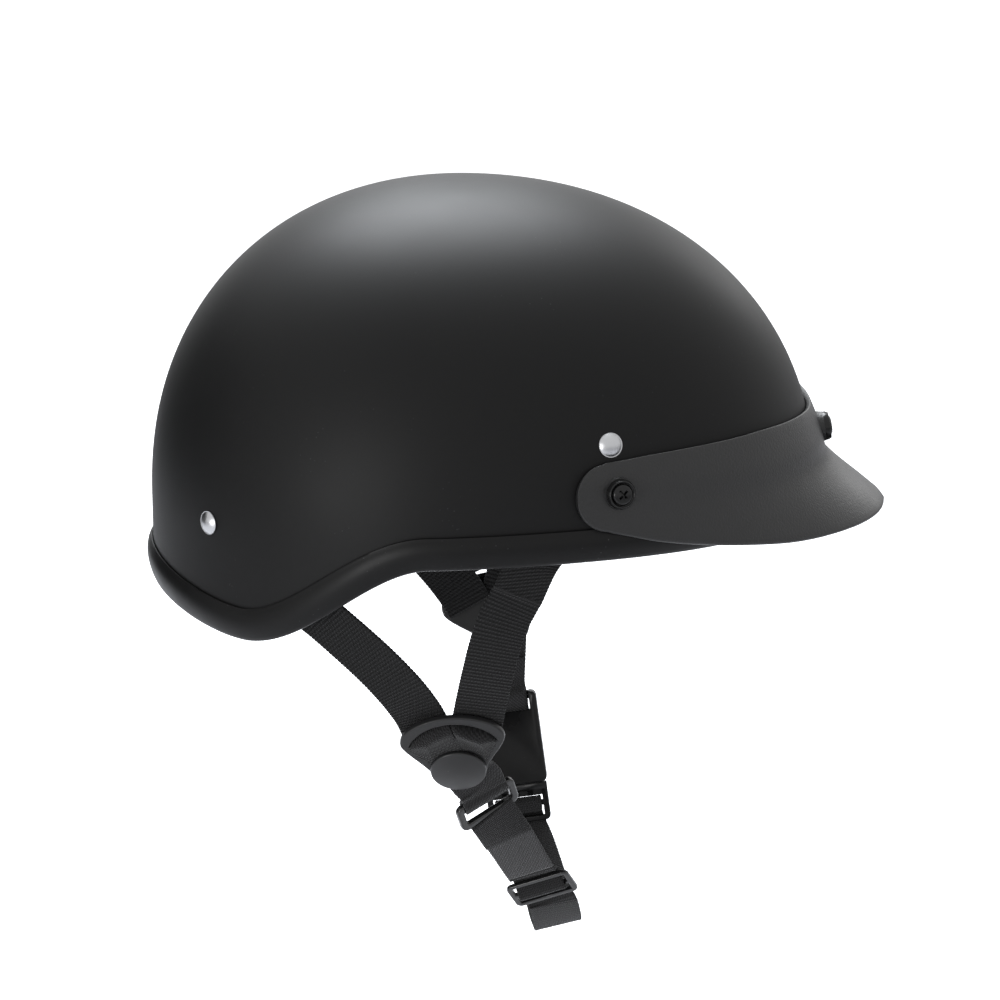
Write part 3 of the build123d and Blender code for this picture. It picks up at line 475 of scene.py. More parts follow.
def domeLength(ahead, inset=0.0):
    return (dome["front"] if ahead >= 0 else dome["rear"]) - inset


def planReach(azimuth, inset=0.0):
    length = domeLength(cos(azimuth), inset)
    return 1 / hypot(cos(azimuth) / length, sin(azimuth) / (dome["halfWidth"] - inset))


def domeSpot(azimuth, height, inset=0.0, offset=0.0):
    return polar(planReach(azimuth, inset) * domeShare(height, inset) + offset, azimuth, height)


def domeSide(x, height, inset, side):
    share = domeShare(height, inset) ** 2 - (x / domeLength(x, inset)) ** 2
    return Vector((x, side * (dome["halfWidth"] - inset) * sqrt(max(share, 0.0)), height))


def domeNormal(spot):
    length, wide = domeLength(spot.x), dome["halfWidth"]
    plan = hypot(spot.x / length, spot.y / wide) ** (dome["power"] - 2)
    rise = (max(spot.z, 0.0) / dome["crown"]) ** (dome["power"] - 1)
    return Vector((plan * spot.x / length ** 2, plan * spot.y / wide ** 2, rise / dome["crown"])).normalized()


def rimHeight(x):
    ear = clamp((dome["earStart"] - x) / (dome["earStart"] - dome["earEnd"]))
    nape = max((dome["napeTurn"] - x) / (dome["napeTurn"] + dome["rear"]), 0.0)
    arch = clamp((x - dome["earStart"]) / (dome["browEnd"] - dome["earStart"]))
    drop = dome["napeDrop"] * ear * ear * (3 - 2 * ear)
    return dome["browArch"] * sin(pi * arch) - drop + dome["napeRise"] * nape ** dome["napeCurve"]


def rimSpot(azimuth):
    spot = domeSpot(azimuth, 0.0)
    return Vector((spot.x, spot.y, rimHeight(spot.x)))


def bowlColumn(azimuth, inset, rise, rows, lowRows):
    # One line of points, from a rise above the rim to just short of the crown
    low = rimHeight(planReach(azimuth, inset) * cos(azimuth)) + rise
    crown, power = dome["crown"] - inset, dome["power"]
    heights = [low * (1 - row / lowRows) if low < 0 else low for row in range(lowRows)]
    first = asin((max(low, 0.0) / crown) ** (power / 2))
    heights += [crown * sin(first + (pi / 2 - first) * row / rows) ** (2 / power) for row in range(rows)]
    return [domeSpot(azimuth, height, inset) for height in heights]


shellLook = {"columns": 192, "rows": 56, "lowRows": 6, "sole": 2.0}


def buildShell(look):
    lines = []
    for azimuth in rounds(look["columns"]):
        inner, outer = (bowlColumn(azimuth, inset, look["sole"], look["rows"], look["lowRows"])
                        for inset in (dome["wall"], 0.0))
        lines.append(inner[::-1] + outer)
    points, faces = bowlMesh(lines, (dome["crown"] - dome["wall"], dome["crown"]))
    addPiece("shellBowl", points, faces, "shell", "outer_shell", sharpAngle=50)


buildShell(shellLook)
print("shell built")


# Edge trim: a rubber channel that follows the rim

trimLook = {"height": 12.4, "bulge": 2.5, "gap": 0.2, "lipGap": 0.6, "lip": 1.5, "lipHeight": 9.0, "sole": 2.0,
            "roundShare": 0.4, "tip": 0.7, "stations": 300, "aim": 0.4, "lipSoft": 0.4,
            "tipSpots": ((0.0, 0.25), (0.25, 0.0), (0.8, 0.1), (1.0, 0.6))}      # share of the tip, and down


def arcPoints(start, middle, end, count):
    return [tuple(a * (1 - s) * (1 - 2 * s) + b * 4 * s * (1 - s) + c * s * (2 * s - 1)
                  for a, b, c in zip(start, middle, end)) for s in steps(count - 1)]


def trimOutline(look):
    # Out from the shell's face, and up from the rim's cut
    gap, top, tip, lipTop = look["gap"], look["height"], look["tip"], look["lipHeight"]
    heel = look["bulge"] * look["roundShare"]
    inner = -dome["wall"] - look["lipGap"]
    back = inner - look["lip"]
    *outline, corner = [(gap + tip * share, top - down) for share, down in look["tipSpots"]]
    outline += arcPoints(corner, (look["bulge"], top / 2), (heel, 0.0), 12)
    sole = (-dome["wall"] / 2, -look["sole"] * look["roundShare"])
    outline += arcPoints((heel, 0.0), sole, (back, heel), 8)[1:]
    seat, soft = look["sole"] - gap, look["lipSoft"]
    return outline + [(back, lipTop - soft), (back + soft, lipTop), (inner, lipTop), (inner, seat), (gap, seat)]


def buildTrim(look):
    step = radians(look["aim"])
    outline = trimOutline(look)
    rows = []
    for azimuth in rounds(look["stations"]):
        spot = rimSpot(azimuth)
        ahead = (rimSpot(azimuth + step) - rimSpot(azimuth - step)).normalized()
        outward = Vector((ahead.y, -ahead.x, 0)).normalized()
        up = outward.cross(ahead).normalized()
        if up.z < 0:
            up = -up
        # The rim is cut straight across the helmet, so on a slope the channel leans with the cut
        slope = (rimHeight(spot.x + 1.0) - rimHeight(spot.x - 1.0)) / 2.0
        cut = Vector((-slope, 0, 1)).normalized()
        lean, stretch = cut.dot(outward), cut.dot(up)
        rows.append([spot + outward * x + up * ((y - x * lean) / stretch) for x, y in outline])
    skinPiece("rimTrim", rows, "trim", "edge_trim", closedRows=True, sharpAngle=55)


buildTrim(trimLook)
print("trim built")


# Peak: a thin grained moulding round the brow, with rounded arms

peakLook = {
    "thickness": 2.0, "gap": 0.5, "reach": 28.4, "seat": 3.2, "dip": -4.0, "armLow": 16.0, "top": 40.0,
    "flare": 4.0, "kickShare": 0.435, "screwShare": 0.72, "screwFlareShare": 0.35, "armX": 57.0, "armZ": 26.0,
    "armRadius": 12.0, "armOut": 3.0, "armLeast": 0.02, "stations": 130, "outerSteps": 26, "edge": 0.5,
    "endFrom": 45.0, "endStep": 0.005, "endSlack": 0.002, "crowding": 0.35,
}
peakRows = (    # azimuth, then the shares of the reach, of the lower edge's rise and of the top height
    (0.0, 1.0, 0.0, 0.91), (6.0, 0.94, 0.015, 0.925), (12.0, 0.82, 0.03, 0.95), (18.0, 0.66, 0.05, 0.97),
    (26.0, 0.46, 0.10, 0.995), (35.0, 0.30, 0.25, 1.0), (45.0, 0.20, 0.45, 1.0), (52.0, 0.18, 0.62, 0.99),
    (58.0, 0.153, 0.80, 0.97), (64.0, 0.122, 0.95, 0.955), (70.0, 0.113, 1.0, 0.95),
)


def armBeyond(azimuth, look):
    # How far behind the arm circle's middle the dome stands at this azimuth
    return look["armX"] - domeSpot(azimuth, look["armZ"], 0.0, look["armOut"]).x


def peakSection(azimuthDegrees, look):
    azimuth = radians(azimuthDegrees)
    reachShare, lowShare, topShare = (
        keyedValue([(row[0], row[column]) for row in peakRows], abs(azimuthDegrees)) for column in (1, 2, 3))
    reach, seat, thickness = look["reach"], look["seat"], look["thickness"]
    low = look["dip"] + (look["armLow"] - look["dip"]) * lowShare
    top = look["top"] * topShare
    flare = max(reachShare * reach - seat, 0) / (reach - seat) * look["flare"]
    keys = [(low, reach * reachShare), (low + (top - low) * look["kickShare"], seat + flare),
            (low + (top - low) * look["screwShare"], seat + flare * look["screwFlareShare"]),
            (top, look["gap"] + thickness)]
    # The arm's rounded end: the part of the section that lies inside the arm's circle
    lowEnd, highEnd = low, top
    beyond = armBeyond(azimuth, look)
    if beyond > 0:
        half = sqrt(max(look["armRadius"] ** 2 - beyond ** 2, look["armLeast"] ** 2))
        lowEnd, highEnd = max(low, look["armZ"] - half), min(top, look["armZ"] + half)
    heights = [lowEnd + share for share in steps(look["outerSteps"], highEnd - lowEnd)]
    points = [Vector((planReach(azimuth) * domeShare(z) + keyedValue(keys, z), z)) for z in heights]
    aheads = [aheadAt(points, index) for index in range(len(points))]
    normals = [Vector((ahead.y, -ahead.x)).normalized() for ahead in aheads]

    def rounded(end, way, centre, radius, turns):
        along = (points[end] - points[end + way]).normalized()
        return [centre + (normals[end] * way * -cos(turn) + along * sin(turn)) * radius for turn in turns]

    mid, soft = thickness / 2, look["edge"]
    outline = rounded(0, 1, points[0] - normals[0] * mid, mid, steps(6, pi)) + points[1:-1]
    outline += rounded(-1, -1, points[-1] - normals[-1] * soft, soft, steps(3, pi / 2))
    outline += [point - normal * thickness for point, normal in zip(points, normals)][:0:-1]
    return [polar(spot.x, azimuth, spot.y) for spot in outline]


def buildPeak(look):
    end = look["endFrom"]
    while armBeyond(radians(end), look) < look["armRadius"] - look["endSlack"]:
        end += look["endStep"]
    rows = []
    for share in steps(look["stations"]):
        wave = sin((share - 0.5) * pi)      # stations crowd towards the arms' ends
        spread = wave * (1 + look["crowding"] * (1 - wave * wave))
        rows.append(peakSection(clamp(spread, -1.0) * end, look))
    skinPiece("browPeak", rows, "peak", "peak", sharpAngle=55)


buildPeak(peakLook)
print("peak built")


# Seats on the dome for the rivets and screws

def frameOf(origin, z, x):
    z = Vector(z).normalized()
    x = (Vector(x) - z * Vector(x).dot(z)).normalized()
    y = z.cross(x)
    return Matrix([(x[i], y[i], z[i], origin[i]) for i in range(3)] + [(0, 0, 0, 1)])


def sideSeat(x, height, side):
    spot = domeSide(x, height, 0.0, side)
    return frameOf(spot, domeNormal(spot), (1, 0, 0))


axisRadius = 0.01      # where a turned profile ends, just off its axis


def turnedPiece(name, profile, seat, material, node, segments=64, sharpAngle=35, slotName=None):
    # A closed profile of (radius, height), turned about the seat's Z
    rows = [[seat @ polar(radius, turn, height) for radius, height in profile] for turn in rounds(segments)]
    return skinPiece(name, rows, material, node, closedRows=True, sharpAngle=sharpAngle, slotName=slotName)


rivetLook = {"headRadius": 4.7, "headHeight": 2.0, "shank": 2.1, "tail": 3.4, "tailHeight": 1.2, "stack": 7.3,
             "lip": 0.35, "clear": 0.02, "undercut": 0.1, "footShare": 0.6}
rivetPlaces = {"front_left": (57.5, 44.6, 1), "front_right": (57.5, 44.6, -1),
               "rear_left": (-97.0, 5.9, 1), "rear_right": (-97.0, 5.9, -1)}


def buildRivets(look):
    radius, height, tail, foot, clear = (
        look[part] for part in ("headRadius", "headHeight", "tail", "tailHeight", "clear"))
    ball = (radius ** 2 + height ** 2) / (2 * height)
    profile = [(max(ball * sin(turn), axisRadius), ball * cos(turn) - ball + height)
               for turn in steps(12, asin(radius / ball))]
    stack, shank, share = -look["stack"], look["shank"], look["footShare"]
    profile[-1] = (radius, look["lip"])
    profile += [(radius - look["undercut"], clear), (shank, clear), (shank, stack), (tail, stack),
                (tail, stack - foot * share), (tail * share, stack - foot), (axisRadius, stack - foot)]
    for name, place in rivetPlaces.items():
        turnedPiece("domeRivet_" + name, profile, sideSeat(*place), "rivet", "rivet_" + name)


buildRivets(rivetLook)
print("rivets built")


# The peak swells into a low boss under each cup washer, which holds a pan head screw with a cross

bossLook = {"radius": 5.9, "foot": 7.2, "low": 2.2, "steps": 8, "side": (59.9, 26.8), "sideLift": 4.27,
            "front": 24.4, "frontLift": 5.73, "curve": 1.5}
cupLook = {"bore": 2.55, "radius": 5.8, "side": 1.0, "rim": 4.95, "height": 2.25, "well": 4.15, "wellTop": 0.6,
           "floor": 0.8, "round": 0.35}
screwLook = {"head": 4.0, "base": 0.8, "top": 3.1, "shank": 2.4, "tail": 6.2, "slot": 0.95, "span": 2.3,
             "depth": 1.3, "turn": 45.0, "soft": 0.2, "shoulder": 0.7, "curl": 1.0, "dome": 0.25,
             "cutOver": 1.0, "cutShares": (1.3, 0.55)}


def crossCutter(seat, look):
    # A cross with arms that narrow downwards
    points = []
    for height, share in zip((look["top"] + look["cutOver"], look["top"] - look["depth"]), look["cutShares"]):
        arm, half = look["span"] * share, look["slot"] / 2 * share
        for quarter in range(4):
            turn = Matrix.Rotation(radians(look["turn"] + 90 * quarter), 4, "Z")
            points += [seat @ (turn @ Vector(spot)) for spot in (
                (arm, -half, height), (arm, half, height), (half, half, height))]
    faces = [(index, 12 + index, 12 + (index + 1) % 12, (index + 1) % 12) for index in range(12)]
    return addMesh("cross", points, faces + [tuple(range(12)), tuple(range(23, 11, -1))])


def buildScrew(name, seat, lift, look):
    head, base, top, tail = look["head"], look["base"], look["top"], look["tail"] + lift
    profile = [(axisRadius, -tail), (look["shank"], -tail), (look["shank"], base),
               (head - look["soft"], base), (head, base + look["soft"])]
    rise = top - base - look["shoulder"] - look["dome"]
    profile += arcSpots(head - look["curl"], base + look["shoulder"], look["curl"], rise, steps(8, pi / 2))
    profile += [(head * share, top - look["dome"] * share ** 2) for share in (0.55, 0.3)] + [(axisRadius, top)]
    screw = turnedPiece("peakScrew_" + name, profile, seat, "screw", "peak_screw_" + name, sharpAngle=40)
    cutter = crossCutter(seat, look)
    cut = screw.modifiers.new("cross", "BOOLEAN")
    cut.operation, cut.object, cut.solver = "DIFFERENCE", cutter, "EXACT"
    applyModifiers(screw)
    bpy.data.objects.remove(cutter)


def buildBosses(look, cup):
    front = domeSpot(0.0, look["front"])
    seats = {"left": (sideSeat(*look["side"], 1), look["sideLift"]),
             "right": (sideSeat(*look["side"], -1), look["sideLift"]),
             "front": (frameOf(front, domeNormal(front), (0, 1, 0)), look["frontLift"])}
    bore, soft = cup["bore"], cup["round"]
    ring = [(bore, 0.0), (cup["radius"], 0.0), (cup["radius"], cup["side"])]
    ring += arcSpots(cup["rim"], cup["height"] - soft, soft, soft, steps(12, pi))
    ring += [(cup["well"], cup["height"] - cup["wellTop"]), (cup["well"], cup["floor"]), (bore, cup["floor"])]
    foot, low, curve = look["foot"], look["low"], look["curve"]
    for name, (seat, lift) in seats.items():
        profile = [(bore, low), (foot, low)]
        profile += [(foot - (foot - look["radius"]) * sin(turn), lift - (lift - low) * cos(turn) ** curve)
                    for turn in steps(look["steps"], pi / 2)]
        turnedPiece("peakBoss_" + name, profile + [(bore, lift)], seat, "peak", "peak")
        raised = seat @ Matrix.Translation((0, 0, lift))
        turnedPiece("cupWasher_" + name, ring, raised, "screw", "peak_cup_" + name, sharpAngle=40)
        buildScrew(name, raised, lift, screwLook)


buildBosses(bossLook, cupLook)
print("bosses built")


# Webbing: a woven ribbon with real ribs, lofted along each strap's route

webbing = {"width": 20.0, "thickness": 1.4, "rowPitch": 0.8, "ribLift": 0.1, "smoothShare": 0.35,
           "serration": 0.16, "foldHeight": 0.8, "foldStep": 0.5, "foldFade": 3.0, "foldSlant": 0.5,
           "foldEdge": 0.3, "fine": 24,
           "profile": ((-1.0, 0.0), (-0.985, 0.62), (-0.93, 1.0), (-0.86, 0.9), (-0.5, 0.93), (0.0, 0.95),
                       (0.5, 0.93), (0.86, 0.9), (0.93, 1.0), (0.985, 0.62), (1.0, 0.0))}


def routeSamples(points, normals, pitch):
    # Place, normal, length and share at an even pitch, then the direction ahead
    count = (len(points) - 1) * webbing["fine"]
    places = [smoothCurve(points, step / count) for step in range(count + 1)]
    lengths = [0.0]
    for before, after in zip(places, places[1:]):
        lengths.append(lengths[-1] + (after - before).length)
    rows = max(int(round(lengths[-1] / pitch)), 2)
    samples = []
    index = 0
    for row in range(rows + 1):
        wanted = lengths[-1] * row / rows
        while index < count - 1 and lengths[index + 1] < wanted:
            index += 1
        local = (wanted - lengths[index]) / max(lengths[index + 1] - lengths[index], 1e-9)
        share = (index + local) / count
        place, normal = places[index].lerp(places[index + 1], local), smoothCurve(normals, share).normalized()
        samples.append((place, normal, wanted, share * (len(points) - 1)))
    spots = [sample[0] for sample in samples]
    return [(*sample, aheadAt(spots, row).normalized()) for row, sample in enumerate(samples)]


def foldLift(distance, look):
    # A sewn fold: a steep step on the lower side that fades out above it
    share = -(distance / look["foldStep"]) ** 2 if distance > 0 else distance / look["foldFade"]
    return look["foldHeight"] * exp(share)


def webbingRows(points, normals, ribbed=True, lift=0.0, foldAt=None):
    look = webbing
    half, deep = look["width"] / 2, look["thickness"] / 2
    profile = look["profile"] + tuple((x, -z) for x, z in look["profile"][-2:0:-1])
    rows, uvs = [], []
    samples = routeSamples(points, normals, look["rowPitch"])
    foldLength = min((abs(sample[3] - foldAt), sample[2]) for sample in samples)[1] if foldAt else 0.0
    ribLift = look["ribLift"] * (1 if ribbed else look["smoothShare"])
    for row, (place, normal, length, _, ahead) in enumerate(samples):
        across = normal.cross(ahead).normalized()
        out = ahead.cross(across).normalized()
        rib, edge = (ribLift, half + look["serration"]) if row % 2 else (-ribLift, half)
        bulge = foldLift(length - foldLength, look) if foldAt else 0.0
        slant = look["foldSlant"] if foldAt and length < foldLength else 0.0
        heights = [lift + z * (deep + rib) + bulge * (1 - look["foldEdge"] * x * x) for x, z in profile]
        rows.append([place + across * x * edge + out * height for (x, z), height in zip(profile, heights)])
        uvs += [(x * half, length + slant * x * half) for x, z in profile]
    return rows, uvs


def webbingPiece(name, points, normals, material, node, body="helmet", **options):
    rows, uvs = webbingRows(points, normals, **options)
    return skinPiece(name, rows, material, node, slotName="webbing", body=body, uvs=uvs)


harness = {
    "drop": 93.0, "startHeight": 2.0, "tilt": 5.0, "rightRadius": 206.0, "leftRadius": 400.0,
    "inset": 7.35, "holdInset": 5.1, "tail": 10.0, "holdLength": 8.0, "settleLength": 12.6, "layer": 1.9,
    "runShares": (0.0, 0.3, 0.55, 0.8),
    "foldAt": {"front_right": 10.1},      # where a strap is folded, counted in the points of its route
}
strapRows = {     # forward and down from the rim, as shares of the drop
    "front_right": ((0.301, 0.03), (0.245, 0.16), (0.193, 0.27), (0.156, 0.38), (0.12, 0.55),
                    (0.092, 0.71), (0.076, 0.82), (0.066, 0.92), (0.06, 0.955)),
    "rear_right": ((-0.57, 0.29), (-0.457, 0.403), (-0.342, 0.531), (-0.242, 0.667),
                   (-0.172, 0.80), (-0.14, 0.90), (-0.122, 0.97)),
    "front_left": ((0.47, 0.03), (0.40, 0.21), (0.335, 0.40), (0.285, 0.56), (0.235, 0.70),
                   (0.205, 0.79), (0.185, 0.87)),
    "rear_left": ((-0.57, 0.29), (-0.40, 0.42), (-0.24, 0.57), (-0.11, 0.715), (-0.02, 0.83), (0.03, 0.915)),
}


def sheetTurn(drop, side):
    radius = harness["leftRadius"] if side > 0 else harness["rightRadius"]
    start = radians(harness["tilt"])
    return radius, start, start + drop / radius


def sheetNormal(drop, side):
    turn = sheetTurn(drop, side)[2]
    return Vector((0, side * cos(turn), -sin(turn)))


def sheetSpot(x, drop, side, inset=0.0):
    radius, start, turn = sheetTurn(drop, side)
    y = dome["halfWidth"] - harness["inset"] - radius * (cos(start) - cos(turn)) - inset * cos(turn)
    z = harness["startHeight"] - radius * (sin(turn) - sin(start)) + inset * sin(turn)
    return Vector((x, side * y, z))


def strapRoute(name):
    x, height, side = rivetPlaces[name]
    rows = [(ahead * harness["drop"], down * harness["drop"]) for ahead, down in strapRows[name]]
    layer = harness["layer"] if name.startswith("rear") else 0.0
    leave = sheetSpot(*rows[0], side)
    held = Vector((x, 0, height))
    run = Vector((leave.x, 0, leave.z)) - held
    tail, hold, settle = harness["tail"], harness["holdLength"], harness["settleLength"]
    lengths = [-tail, -tail / 2, 0.0, hold / 2, hold]
    lengths += [settle + (run.length - settle) * share for share in harness["runShares"]]
    points = []
    for length in lengths:
        spot = held + run.normalized() * length
        points.append(domeSide(spot.x, spot.z, harness["inset" if length >= settle else "holdInset"], side))
    normals = [domeNormal(point) for point in points]
    home = domeSide(leave.x, leave.z, harness["inset"], side)
    for index, (ahead, drop) in enumerate(rows):
        fade = max(1 - index * 2 / (len(rows) - 1), 0.0)
        points.append(sheetSpot(ahead, drop, side, layer * (1 - fade)) - (leave - home) * fade)
        normals.append((domeNormal(home) * fade + sheetNormal(drop, side) * (1 - fade)).normalized())
    return points, normals


for name in strapRows:
    place, side = name.split("_")
    webbingPiece("webbing_" + name, *strapRoute(name), "ribbedWebbing", f"{place}_strap_{side}",
                 foldAt=harness["foldAt"].get(name))
print("upper straps built")


# Frames of the plates, the ring, the tri-glide and the buckle, as the solids have them

def crossFrame(origin, x, other):
    return frameOf(origin, Vector(x).cross(Vector(other)), x)


def plateFrame(x, drop, turn, side):
    normal = sheetNormal(drop, side)
    origin = sheetSpot(x, drop, side) + normal * (webbing["thickness"] / 2 + lowerLook["plateGap"])
    return frameOf(origin, normal, (-side, 0, 0)) @ Matrix.Rotation(radians(turn * side), 4, "Z")


def axisOf(matrix, column):
    return Vector([matrix[row][column] for row in range(3)])


def eyeRadius(width, thickness, rounding):
    # Inner radius of webbing that wraps a rounded bar
    return hypot(width / 2 - rounding, thickness / 2 - rounding) + rounding + lowerLook["eyeGap"]


lowerLook = {"capDrop": 15.4, "capRadius": 11.0, "overlap": 7.0, "plateGap": 0.6, "eyeGap": 0.15,
             "partLength": 4.0, "layer": 1.45, "rise": 0.4, "slotFill": 3.4, "capShare": 0.6, "partShare": 0.4,
             "normalShares": (0.0, 0.0, 0.35, 0.8, 1.0), "wrapTurns": (60, 30, 0, -30, -60, -90)}
plateFrames = {"right": plateFrame(-2.7, 84.6, -8.0, -1), "left": plateFrame(9.7, 79.0, -30.0, 1)}
ringFrame = crossFrame((10.6, -60.0, -114.4), (0.83, 0.40, 0.40), (-0.28, -0.44, 0.85))
glideFrame = crossFrame((33.0, -37.0, -160.5), (0.92, -0.158, 0.36), (-0.39, -0.50, 0.78))
buckleFrame = crossFrame((22.7, 66.0, -155.4), (0.99, 0.0, 0.14), (0.138, -0.25, -0.958))
ringBar, glidePitch, buckleBar = 5.0, 6.2, -38.2
barSections = ((3.0, 3.0, 0.9), (3.6, 4.0, 0.9), (2.4, 3.0, 0.6))      # width, thickness and rounding
ringEye, femaleEye, maleEye = (eyeRadius(*section) for section in barSections)


def buildLowerStrap(name, plate, eyeCentre, up, normal, radius, stretch=0.0):
    look, thickness = lowerLook, webbing["thickness"]
    middle = radius + thickness / 2
    centre = plate @ Vector((0, -look["capDrop"], -look["plateGap"] - thickness / 2))
    # Two layers part just above the bar and pass in front of and behind it
    home = axisOf(plate, 2)
    last = eyeCentre + up * (middle + look["partLength"])
    # The strap turns under its cap until it points at the bar, and leaves the plate's plane beyond the cap
    way = last - centre
    flat = (way - home * way.dot(home)).normalized()
    below = centre + flat * (look["capRadius"] * look["capShare"])
    between = below.lerp(last, 0.5) + home * look["rise"]
    outer = [centre - flat * look["overlap"], centre, below, between, last + normal * thickness / 2]
    inner = [below.lerp(last, look["partShare"]) - normal * look["layer"], last - normal * thickness / 2]
    outerNormals = [home.lerp(normal, share) for share in look["normalShares"]]
    layers = (("outer", 1, outer, outerNormals), ("inner", -1, inner, [(home + normal).normalized(), normal]))
    for label, way, points, normals in layers:
        for turn in look["wrapTurns"]:
            angle = radians(turn)
            drop = sin(angle) * (middle if turn >= 0 else middle + stretch)
            points.append(eyeCentre + up * drop + normal * way * cos(angle) * middle)
            normals.append((up * sin(angle) * way + normal * cos(angle)).normalized())
        webbingPiece(f"{name}_{label}", points, normals, "lowerWebbing", name, ribbed=False)


buckleOut, buckleNormal = axisOf(buckleFrame, 1), axisOf(buckleFrame, 2)
buildLowerStrap("lower_strap_right", plateFrames["right"], ringFrame @ Vector((0, ringBar, 0)),
                axisOf(ringFrame, 1), axisOf(ringFrame, 2), ringEye)
buildLowerStrap("lower_strap_left", plateFrames["left"], buckleFrame @ Vector((0, buckleBar, 0)),
                -buckleOut, buckleNormal, femaleEye, lowerLook["slotFill"])
print("lower straps built")


# Chin strap: doubled from the ring to the lap's end, woven through the tri-glide, on to the tongue

chinLook = {"upper": ((16.0, -53.9, -126.7), (20.0, -49.6, -134.4)),
            "lower": ((39.4, -21.7, -179.9), (40.0, -11.0, -187.6), (39.6, 2.0, -192.0), (38.0, 16.0, -193.0),
                      (36.0, 30.0, -190.5), (32.8, 43.0, -184.9), (29.2, 53.0, -177.4)),
            "weaveDepth": 2.6, "endLift": 3.55, "endReach": 15.8, "barReach": 9.2, "lapGap": 0.05,
            "lapShare": 0.7,      # ends the lap clear of the glide's highest place
            "tailLength": 3.5, "spareRows": 3, "tuck": 0.93,
            # Points of the route at the lap's start, the weave's start and end, the lowest place and the wrap
            "marks": (1, 3, 11, 14, -7)}


def chinRoute(look):
    weave = []
    for way in (step / 2 for step in range(-4, 5)):
        lift = cos(pi * way) if abs(way) <= 1 else (cos(pi * way) - 1) / 2
        weave.append(glideFrame @ Vector((0, -way * glidePitch, lift * look["weaveDepth"])))
    upper, lower = ([Vector(point) for point in look[part]] for part in ("upper", "lower"))
    middle = maleEye + webbing["thickness"] / 2
    bar = buckleFrame @ Vector((0, look["barReach"], 0))
    end = [buckleFrame @ Vector((0, look["endReach"], look["endLift"]))]
    for angle in steps(4, pi):      # round the tongue's bar and back under it
        end.append(bar + buckleOut * (-sin(angle) * middle) + buckleNormal * (cos(angle) * middle))
    end.append(end[-1] + buckleOut * look["tailLength"])
    points = [ringFrame @ Vector((0, -ringBar, 0)), *upper, *weave, *lower, *end]
    ring, glide, buckle = axisOf(ringFrame, 0), axisOf(glideFrame, 0), axisOf(buckleFrame, 0)
    acrosses = [ring.lerp(glide, share).normalized() for share in steps(len(upper) + 1)[:-1]]
    acrosses += [glide] * len(weave)
    acrosses += [glide.lerp(buckle, share).normalized() for share in steps(len(lower) + 1)[1:]]
    acrosses += [buckle] * (len(end) - 1)
    normals = [aheadAt(points, index).cross(across).normalized() for index, across in enumerate(acrosses)]
    return points, normals


def buildChinStrap(look):
    points, normals = chinRoute(look)
    rows, uvs = webbingRows(points, normals, ribbed=False)
    width = len(rows[0])
    centres = [sum(row, Vector()) / width for row in rows]

    def nearest(index):
        return min(range(len(rows)), key=lambda row: (centres[row] - points[index]).length)

    def bend(piece, bodyA, bodyB, startRow, endRow):
        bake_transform(piece)

    # The strap in lengths; a spare end is tucked inside the length before
    spare = look["spareRows"]
    lapStart, weaveStart, weaveEnd, lowest, wrap = (nearest(index) for index in look["marks"])
    # The lengths down to the glide take the lighter copy of the webbing, a painted highlight, and the lengths
    # from the glide on the darker copy, painted shade
    for name, weave, first, last, *blend in (
            ("chinTop", "twillWebbing", 0, lapStart, "ring", "helmet", 0, lapStart),
            ("chinLapped", "twillWebbing", lapStart - spare, weaveStart, "helmet", "glide", 0, weaveStart),
            ("chinWoven", "foldedWebbing", weaveStart, lowest, "glide", "helmet", weaveEnd, lowest),
            ("chinBow", "foldedWebbing", lowest, len(rows) - 1, "helmet", "tongue", lowest, wrap)):
        lines = rows[first:last + 1]
        if name == "chinLapped":
            lines[:spare] = [[centre.lerp(point, look["tuck"]) for point in row]
                             for row, centre in zip(lines[:spare], centres[first:])]
        part = skinPiece(name, lines, weave, "chin_strap", slotName="webbing", body=None,
                         uvs=uvs[first * width:(last + 1) * width])
        bend(part, *blend)
    lapped = points[:2] + [points[1].lerp(points[2], look["lapShare"])]
    # The lap takes the darker copy of the webbing: painted shade below the ring
    lap = webbingPiece("chinLap", lapped, normals[:3], "foldedWebbing", "chin_strap", body=None, ribbed=False,
                       lift=webbing["thickness"] + look["lapGap"])
    bend(lap, "ring", "helmet", 0, lapStart)


buildChinStrap(chinLook)


# A thin moulded web with three ribs closes the tongue's window

webLook = {"half": 11.2, "from": 2.4, "to": 5.8, "thickness": 1.2, "ribs": (-5.6, 0.0, 5.6), "ribHalf": 1.2,
           "rib": 0.5, "ribEdge": 0.3, "steps": 112}


def buildTongueWeb(look):
    rows = []
    for x in steps(look["steps"], look["half"] * 2):
        x -= look["half"]
        near = min(abs(x - place) for place in look["ribs"])
        high = look["thickness"] / 2 + look["rib"] * clamp((look["ribHalf"] - near) / look["ribEdge"])
        outline = ((look["from"], -high), (look["to"], -high), (look["to"], high), (look["from"], high))
        rows.append([buckleFrame @ Vector((x, y, z)) for y, z in outline])
    skinPiece("tongueWeb", rows, "buckle", body="tongue", sharpAngle=30)


buildTongueWeb(webLook)
print("chin strap built")


# The button's leaf spring, reaching past the tongue's tip

springLook = {"end": -29.9, "tip": -16.5, "foot": -2.5, "low": 1.1, "top": 1.5, "half": 3.0, "steps": 36,
              "bendFrom": -24.0, "bendTo": -21.7}      # between the tongue's tip and the button


def buildSpring(look):
    end, foot, low, top = look["end"], look["foot"], look["low"], look["top"]
    start = end + top - low
    along = [start + share for share in steps(look["steps"], look["tip"] - start)]
    outline = [(end, foot), (start, foot)] + [(y, low) for y in along]
    outline += [(y, top) for y in along[::-1]] + [(end, top)]
    rows = [[buckleFrame @ Vector((x, y, z)) for y, z in outline] for x in (-look["half"], look["half"])]
    spring = skinPiece("leafSpring", rows, "spring", "button_spring", body=None, sharpAngle=40)
    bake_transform(spring)


